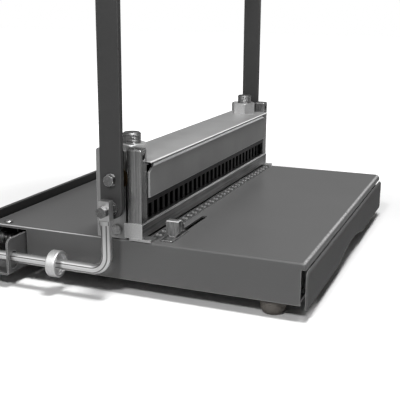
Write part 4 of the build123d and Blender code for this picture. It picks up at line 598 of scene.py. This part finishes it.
def silver_enamel(name, shade, dark_shade):
    """Silver enamel: aluminium flake under a thin clear film, a satin sheen with paler edges."""
    made, nodes, shader, place = new_finish(name)
    flake = add(nodes, "ShaderNodeTexNoise", None,
                {"Vector": place, "Scale": per_metre(FLAKE_MM), "Detail": 2.0})
    drift = add(nodes, "ShaderNodeTexNoise", None,
                {"Vector": place, "Scale": per_metre(DRIFT_MM), "Detail": 3.0})
    blend = add(nodes, "ShaderNodeMath", {"operation": "MULTIPLY_ADD"},
                {0: flake.outputs[0], 1: 0.4, 2: drift.outputs[0]})
    level = add(nodes, "ShaderNodeMapRange", None,
                {"Value": blend.outputs[0], "From Min": 0.4, "From Max": 1.0})
    tint = add(nodes, "ShaderNodeMix", {"data_type": "RGBA"},
               {MIX_SHARE: level.outputs[0], MIX_FROM: linear(dark_shade), MIX_TO: linear(shade)})
    relief = add(nodes, "ShaderNodeBump", None, {"Height": flake.outputs[0], "Distance": FLAKE_DEEP_MM * MM})
    join(nodes, shader, {
        "Base Color": lit_edges(nodes, tint.outputs[MIXED], "#e7e7e7", EDGE_RUBBED_AND_LIT_MM),
        "Normal": relief.outputs[0],
        "Roughness": 0.4,
        "Metallic": 0.45,
    })
    return made


# The top is the lighter enamel, with a painted highlight on its front edge over a painted shadow in the seam.
top_enamel = silver_enamel("silver_enamelled_top", shade="#aeaeae", dark_shade="#9b9b9b")
over_shade(top_enamel, painted_light_zone(top_enamel, ("Y", -29.0, -30.2)), "#ffffff")
over_shade(top_enamel, painted_light_zone(top_enamel, ("Z", 130.1, 129.7)), "#1c1c1c")
finish_nodes(["head_top_plate"], top_enamel, edge_mm=0.2)
# The upright sheets are painted greyer than the top, a painted shade for faces turned from the light.
# Their bend carries a painted highlight in a narrow band, below a painted shadow in the seam.
front_enamel = silver_enamel("silver_enamelled_front", shade="#939393", dark_shade="#838383")
over_shade(front_enamel, painted_light_zone(front_enamel, ("Z", 124.4, 125.6), ("Z", 128.3, 127.6)), "#fbfbfb")
over_shade(front_enamel, painted_light_zone(front_enamel, ("Z", 127.6, 128.3)), "#1c1c1c")
finish_nodes(["head_front_cover", "head_back_cover"], front_enamel, edge_mm=0.2, whole=False)
finish_nodes(["back_cover_screws"], screw_steel, edge_mm=0.2)


# ---------------------------------------------------------------- chip drawer
# The tray and its runners are folded from 1.5 mm pre-galvanised sheet and left bare.  The tray is
# spot-welded to its front and slides on the runners.

# Hot-dip zinc: a mid grey with soft, wide spangle.
galvanised = zinc_plate("galvanised_sheet", shade="#b5b5b5", dull_shade="#919191", roughness=0.42,
                        spangle_mm=6.0)
finish_nodes(["drawer_tray", "drawer_runners"], galvanised, edge_mm=0.2)


# ---------------------------------------------------------------- closer at the back
# Two painted steel jaws squeeze the wire: one is screwed to the base, the other to a folded channel
# that slides on two ground rods.

# Stoved enamel: near black, with a slight gloss and grey edges.
jaw_black = powder_coat("black_stoved_enamel", shade="#1b1b1b", thin_shade="#242424",
                        edge_shade="#6b6b6b", roughness=0.4, sheen=0.5)
finish_nodes(["fixed_jaw", "moving_jaw"], jaw_black, edge_mm=0.4)
# Phosphated and oiled sheet: a dark grey close to the base's, with light cut edges.
channel_paint = powder_coat("dark_phosphated_channel", shade="#4f4f4f", thin_shade="#5b5b5b",
                            edge_shade="#aaaaaa", roughness=0.42, sheen=0.5)
finish_nodes(["closer_channel"], channel_paint, edge_mm=0.3)
finish_nodes(["guide_brackets", "stop_collars"], bright_zinc, edge_mm=0.3)
finish_nodes(["guide_rods"], bright_bar, edge_mm=0.2)
finish_nodes(["fixed_jaw_screws", "bracket_screws", "jaw_screws"], screw_steel, edge_mm=0.2)


# ---------------------------------------------------------------- springs
# Coiled from bright drawn wire, their end turns closed.  Two round the columns lift the punch head,
# and two on the guide rods push the channel forward.
WIRE_SIDES, TURN_STEPS = 10, 28
COIL_SMOOTH_BELOW = math.radians(50)
# Drawn wire: a clean mid grey, glossy enough for a highlight on each turn.
spring_wire = worked_steel("drawn_spring_wire", shade="#8e8e8e", dark_shade="#686868",
                           edge_shade="#9b9b9b", roughness=0.3, line_mm=0.6, run_axes="Z", run_mm=2.0)


def coil(name, feet, along, length, radius, wire, turns):
    """Springs that stand on their feet along Y or Z, all in mm; wire is the wire's radius."""
    rise = [(0, wire), (1, 3 * wire), (turns - 1, length - 3 * wire), (turns, length - wire)]
    form = bmesh.new()
    for foot in feet:
        rings = []
        for step in range(turns * TURN_STEPS + 1):
            turn = step / TURN_STEPS
            below, above = next(pair for pair in zip(rise, rise[1:]) if turn <= pair[1][0])
            height = below[1] + (above[1] - below[1]) * (turn - below[0]) / (above[0] - below[0])
            ring = []
            for corner in range(WIRE_SIDES):
                tilt = 2 * math.pi * corner / WIRE_SIDES
                reach, lift = radius + wire * math.cos(tilt), height + wire * math.sin(tilt)
                flat = (reach * math.cos(2 * math.pi * turn), reach * math.sin(2 * math.pi * turn))
                offset = Vector((flat[0], flat[1], lift) if along == "Z" else (flat[0], lift, -flat[1]))
                ring.append(form.verts.new((Vector(foot) + offset) * MM))
            rings.append(ring)
        for low, high in zip(rings, rings[1:]):
            for corner in range(WIRE_SIDES):
                beside = (corner + 1) % WIRE_SIDES
                form.faces.new((low[corner], low[beside], high[beside], high[corner]))
        form.faces.new(rings[0])
        form.faces.new(rings[-1][::-1])
    bmesh.ops.recalc_face_normals(form, faces=form.faces)
    mesh = bpy.data.meshes.new(name)
    form.to_mesh(mesh)
    form.free()
    mesh.shade_smooth()
    mesh.set_sharp_from_angle(angle=COIL_SMOOTH_BELOW)
    mesh.materials.append(spring_wire)
    piece = bpy.data.objects.new(name, mesh)
    bpy.context.scene.collection.objects.link(piece)
    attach(piece, "base")
    return piece


BAR_TOP, LIFT_ROOM, STROKE = 73.05, 16.75, 8.0              # mm
lifters = coil("return_spring_coils", [(x, COLUMN_Y, BAR_TOP) for x in (-COLUMN_X, COLUMN_X)], "Z",
               LIFT_ROOM, radius=11.2, wire=0.95, turns=5)
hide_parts("return_springs")
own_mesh(lifters)

GUIDE_X, GUIDE_Z, WEB_BACK, PUSH_ROOM, CLOSER_TRAVEL = 180, 36, 107.1, 31.8, 10.0   # mm
pushers = coil("channel_spring_coils", [(x, WEB_BACK, GUIDE_Z) for x in (-GUIDE_X, GUIDE_X)], "Y",
               PUSH_ROOM, radius=5.7, wire=0.65, turns=8)
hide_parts("channel_springs")
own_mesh(pushers)


# ---------------------------------------------------------------- handle
# Two flat steel arms, bolted to the cranks that drive the beam, and joined at the top by a chromed
# tube in a rubber sleeve.

# Powder on the arms: a matt charcoal, darker than the base.
arm_powder = powder_coat("dark_powder_coated_bar", shade="#333333", thin_shade="#393939",
                         edge_shade="#5b5b5b", roughness=0.55, sheen=0.4)
finish_nodes(["handle_arm_left", "handle_arm_right"], arm_powder, edge_mm=0.5)
# Chromed tube: the only mirror on the machine.
tube_chrome = worked_steel("chromed_tube", shade="#d5d5d5", dark_shade="#c0c0c0", edge_shade="#dfdfdf",
                           roughness=0.12, line_mm=1.0, run_mm=80.0)
finish_nodes(["grip_bar"], tube_chrome, edge_mm=0.2)
# Grip rubber: black and dull, with a fine skin.
grip_rubber = moulded_rubber("moulded_grip_rubber", shade="#202020", worn_shade="#2c2c2c", roughness=0.55,
                             skin_mm=1.2)
finish_nodes(["grip_sleeve"], grip_rubber, edge_mm=0.8)
# Older zinc on the bolts of the linkage: a darker grey than the nuts of the head.
bolt_zinc = zinc_plate("dark_zinc_plated_bolts", shade="#969696", dull_shade="#575757", roughness=0.36,
                       spangle_mm=1.6)
finish_nodes(["grip_bolts", "pivot_bolts", "link_pins", "link_nuts"], bolt_zinc, edge_mm=0.25)
finish_nodes(["crank_left", "crank_right"], plate_steel, edge_mm=0.3)


# ---------------------------------------------------------------- closer rods and collars
# Bright drawn 10 mm rods, bent once and flattened at the pin, pull the closer.  Two thin dark
# lines run along each, 4.4 mm to either side of its middle.  A zinc plated collar is clamped on each.
ROD_X = 214.8               # mm from the middle to each rod
STREAK_OUT, STREAK_HALF = 4.4, 0.42     # mm from the rod's own middle plane to each die streak
DIE_LINE_MM, DIE_RUN_MM, DIE_DEEP_MM = 1.5, 70.0, 0.02      # coarser than real lines, so that they show
# Drawn bar: light steel grey, with two thin dark lines.  Its low run is painted nearly white, a painted
# reflection of the light above it.
rod_steel, nodes, shader, place = new_finish("bright_drawn_rod")
along = per_metre(DIE_RUN_MM)
drawn = add(nodes, "ShaderNodeMapping", {"vector_type": "POINT"},
            {"Vector": place, "Scale": (per_metre(DIE_LINE_MM), along, along)})
lines = add(nodes, "ShaderNodeTexNoise", None, {"Vector": drawn.outputs[0], "Scale": 1.0, "Detail": 3.0})
sideways = add(nodes, "ShaderNodeSeparateXYZ", None, {0: place}).outputs["X"]
from_middle = add(nodes, "ShaderNodeMath", {"operation": "ABSOLUTE"}, {0: sideways})
from_rod = add(nodes, "ShaderNodeMath", {"operation": "SUBTRACT"},
               {0: from_middle.outputs[0], 1: ROD_X * MM})
from_plane = add(nodes, "ShaderNodeMath", {"operation": "ABSOLUTE"}, {0: from_rod.outputs[0]})
off_streak = add(nodes, "ShaderNodeMath", {"operation": "SUBTRACT"},
                 {0: from_plane.outputs[0], 1: STREAK_OUT * MM})
gap = add(nodes, "ShaderNodeMath", {"operation": "ABSOLUTE"}, {0: off_streak.outputs[0]})
streak = add(nodes, "ShaderNodeMapRange", {"interpolation_type": "SMOOTHSTEP"},
             {"Value": gap.outputs[0], "From Min": 0.0, "From Max": STREAK_HALF * MM, "To Min": 1.0,
              "To Max": 0.0})
plain = add(nodes, "ShaderNodeMix", {"data_type": "RGBA"},
            {MIX_SHARE: lines.outputs[0], MIX_FROM: linear("#8d8d8d"), MIX_TO: linear("#f5f5f5")})
bright = add(nodes, "ShaderNodeMix", {"data_type": "RGBA"},
             {MIX_SHARE: painted_light_zone(rod_steel, ("Z", 72.0, 44.0), most=0.75),
              MIX_FROM: plain.outputs[MIXED], MIX_TO: linear("#ffffff")})
tint = add(nodes, "ShaderNodeMix", {"data_type": "RGBA"},
           {MIX_SHARE: streak.outputs[0], MIX_FROM: bright.outputs[MIXED], MIX_TO: linear("#232323")})
gloss = add(nodes, "ShaderNodeMapRange", None, {"Value": lines.outputs[0], "To Min": 0.42, "To Max": 0.22})
relief = add(nodes, "ShaderNodeBump", None, {"Height": lines.outputs[0], "Distance": DIE_DEEP_MM * MM})
join(nodes, shader, {"Base Color": tint.outputs[MIXED], "Roughness": gloss.outputs[0],
                     "Normal": relief.outputs[0], "Metallic": 1.0})
finish_nodes(["closer_rod_left", "closer_rod_right"], rod_steel, edge_mm=0.2)
# Zinc painted lighter than the rest: the whitest pieces on the machine, a painted highlight for the light
# they reflect.
collar_zinc = zinc_plate("zinc_plated_collar_with_painted_highlight", shade="#fafafa", dull_shade="#dedede", roughness=0.42,
                         spangle_mm=1.2)
finish_nodes(["setting_collar_left", "setting_collar_right"], collar_zinc, edge_mm=0.5)


# ---------------------------------------------------------------- side stop
# A sawn steel block on the table, thinly plated, and clamped through the table's slot to a plate
# below it by a knurled screw.

# Worn plating: blotched light and dark, with a painted highlight along the top.
stop_steel = worked_steel("worn_plated_stop", shade="#bbbbbb", dark_shade="#565656", edge_shade="#f1f1f1",
                          roughness=0.36, line_mm=2.2, run_axes="Z", run_mm=9.0)
over_shade(stop_steel, painted_light_zone(stop_steel, ("Z", 72.0, 72.8)), "#ffffff")
finish_nodes(["side_stop", "clamp_plate"], stop_steel, edge_mm=0.6)

SCREW_X, SCREW_Y, SCREW_SIDES = -153, -47.5, 120            # mm, as all sizes of the screw
STUD_R, STUD_LOW = 2.4, 49.8
KNOB_LOW, KNURL_LOW, KNURL_TOP, KNOB_TOP = 57.9, 59.2, 65.6, 66.9
KNOB_NECK, KNOB_R, KNOB_CROWN = 3.5, 4.2, 3.1
KNURL_RIM, KNOB_BREAK = 0.3, 0.5        # plain rims beside the knurl, and the broken edges
KNURL_TEETH, KNURL_DEEP = 20, 0.35


def knurl_depth(angle, height):
    """The straight knurl's grooves in the knob, in mm."""
    if not KNURL_LOW < height < KNURL_TOP:
        return 0
    return -KNURL_DEEP * abs(math.sin(KNURL_TEETH * angle / 2))


knob_profile = [(0, STUD_LOW), (STUD_R, STUD_LOW), (STUD_R, KNOB_LOW), (KNOB_NECK, KNOB_LOW),
                (KNOB_NECK, KNURL_LOW - KNOB_BREAK), (KNOB_R, KNURL_LOW), (KNOB_R, KNURL_LOW + KNURL_RIM),
                (KNOB_R, KNURL_TOP - KNURL_RIM), (KNOB_R, KNURL_TOP),
                (KNOB_R - KNOB_BREAK, KNOB_TOP - KNOB_BREAK), (KNOB_CROWN, KNOB_TOP), (0, KNOB_TOP)]
# Rolled knurl: grey steel, with dark grooves between bright ridges.
knob_steel = worked_steel("dark_knurled_steel", shade="#8d8d8d", dark_shade="#464646",
                          edge_shade="#cacaca", roughness=0.36, line_mm=0.7, run_axes="Z", run_mm=9.0)
knob = turned("knurled_thumb_screw", knob_profile, [(SCREW_X, SCREW_Y)], SCREW_SIDES, knob_steel, knurl_depth)
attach(knob, "thumb_screw")
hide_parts("thumb_screw")
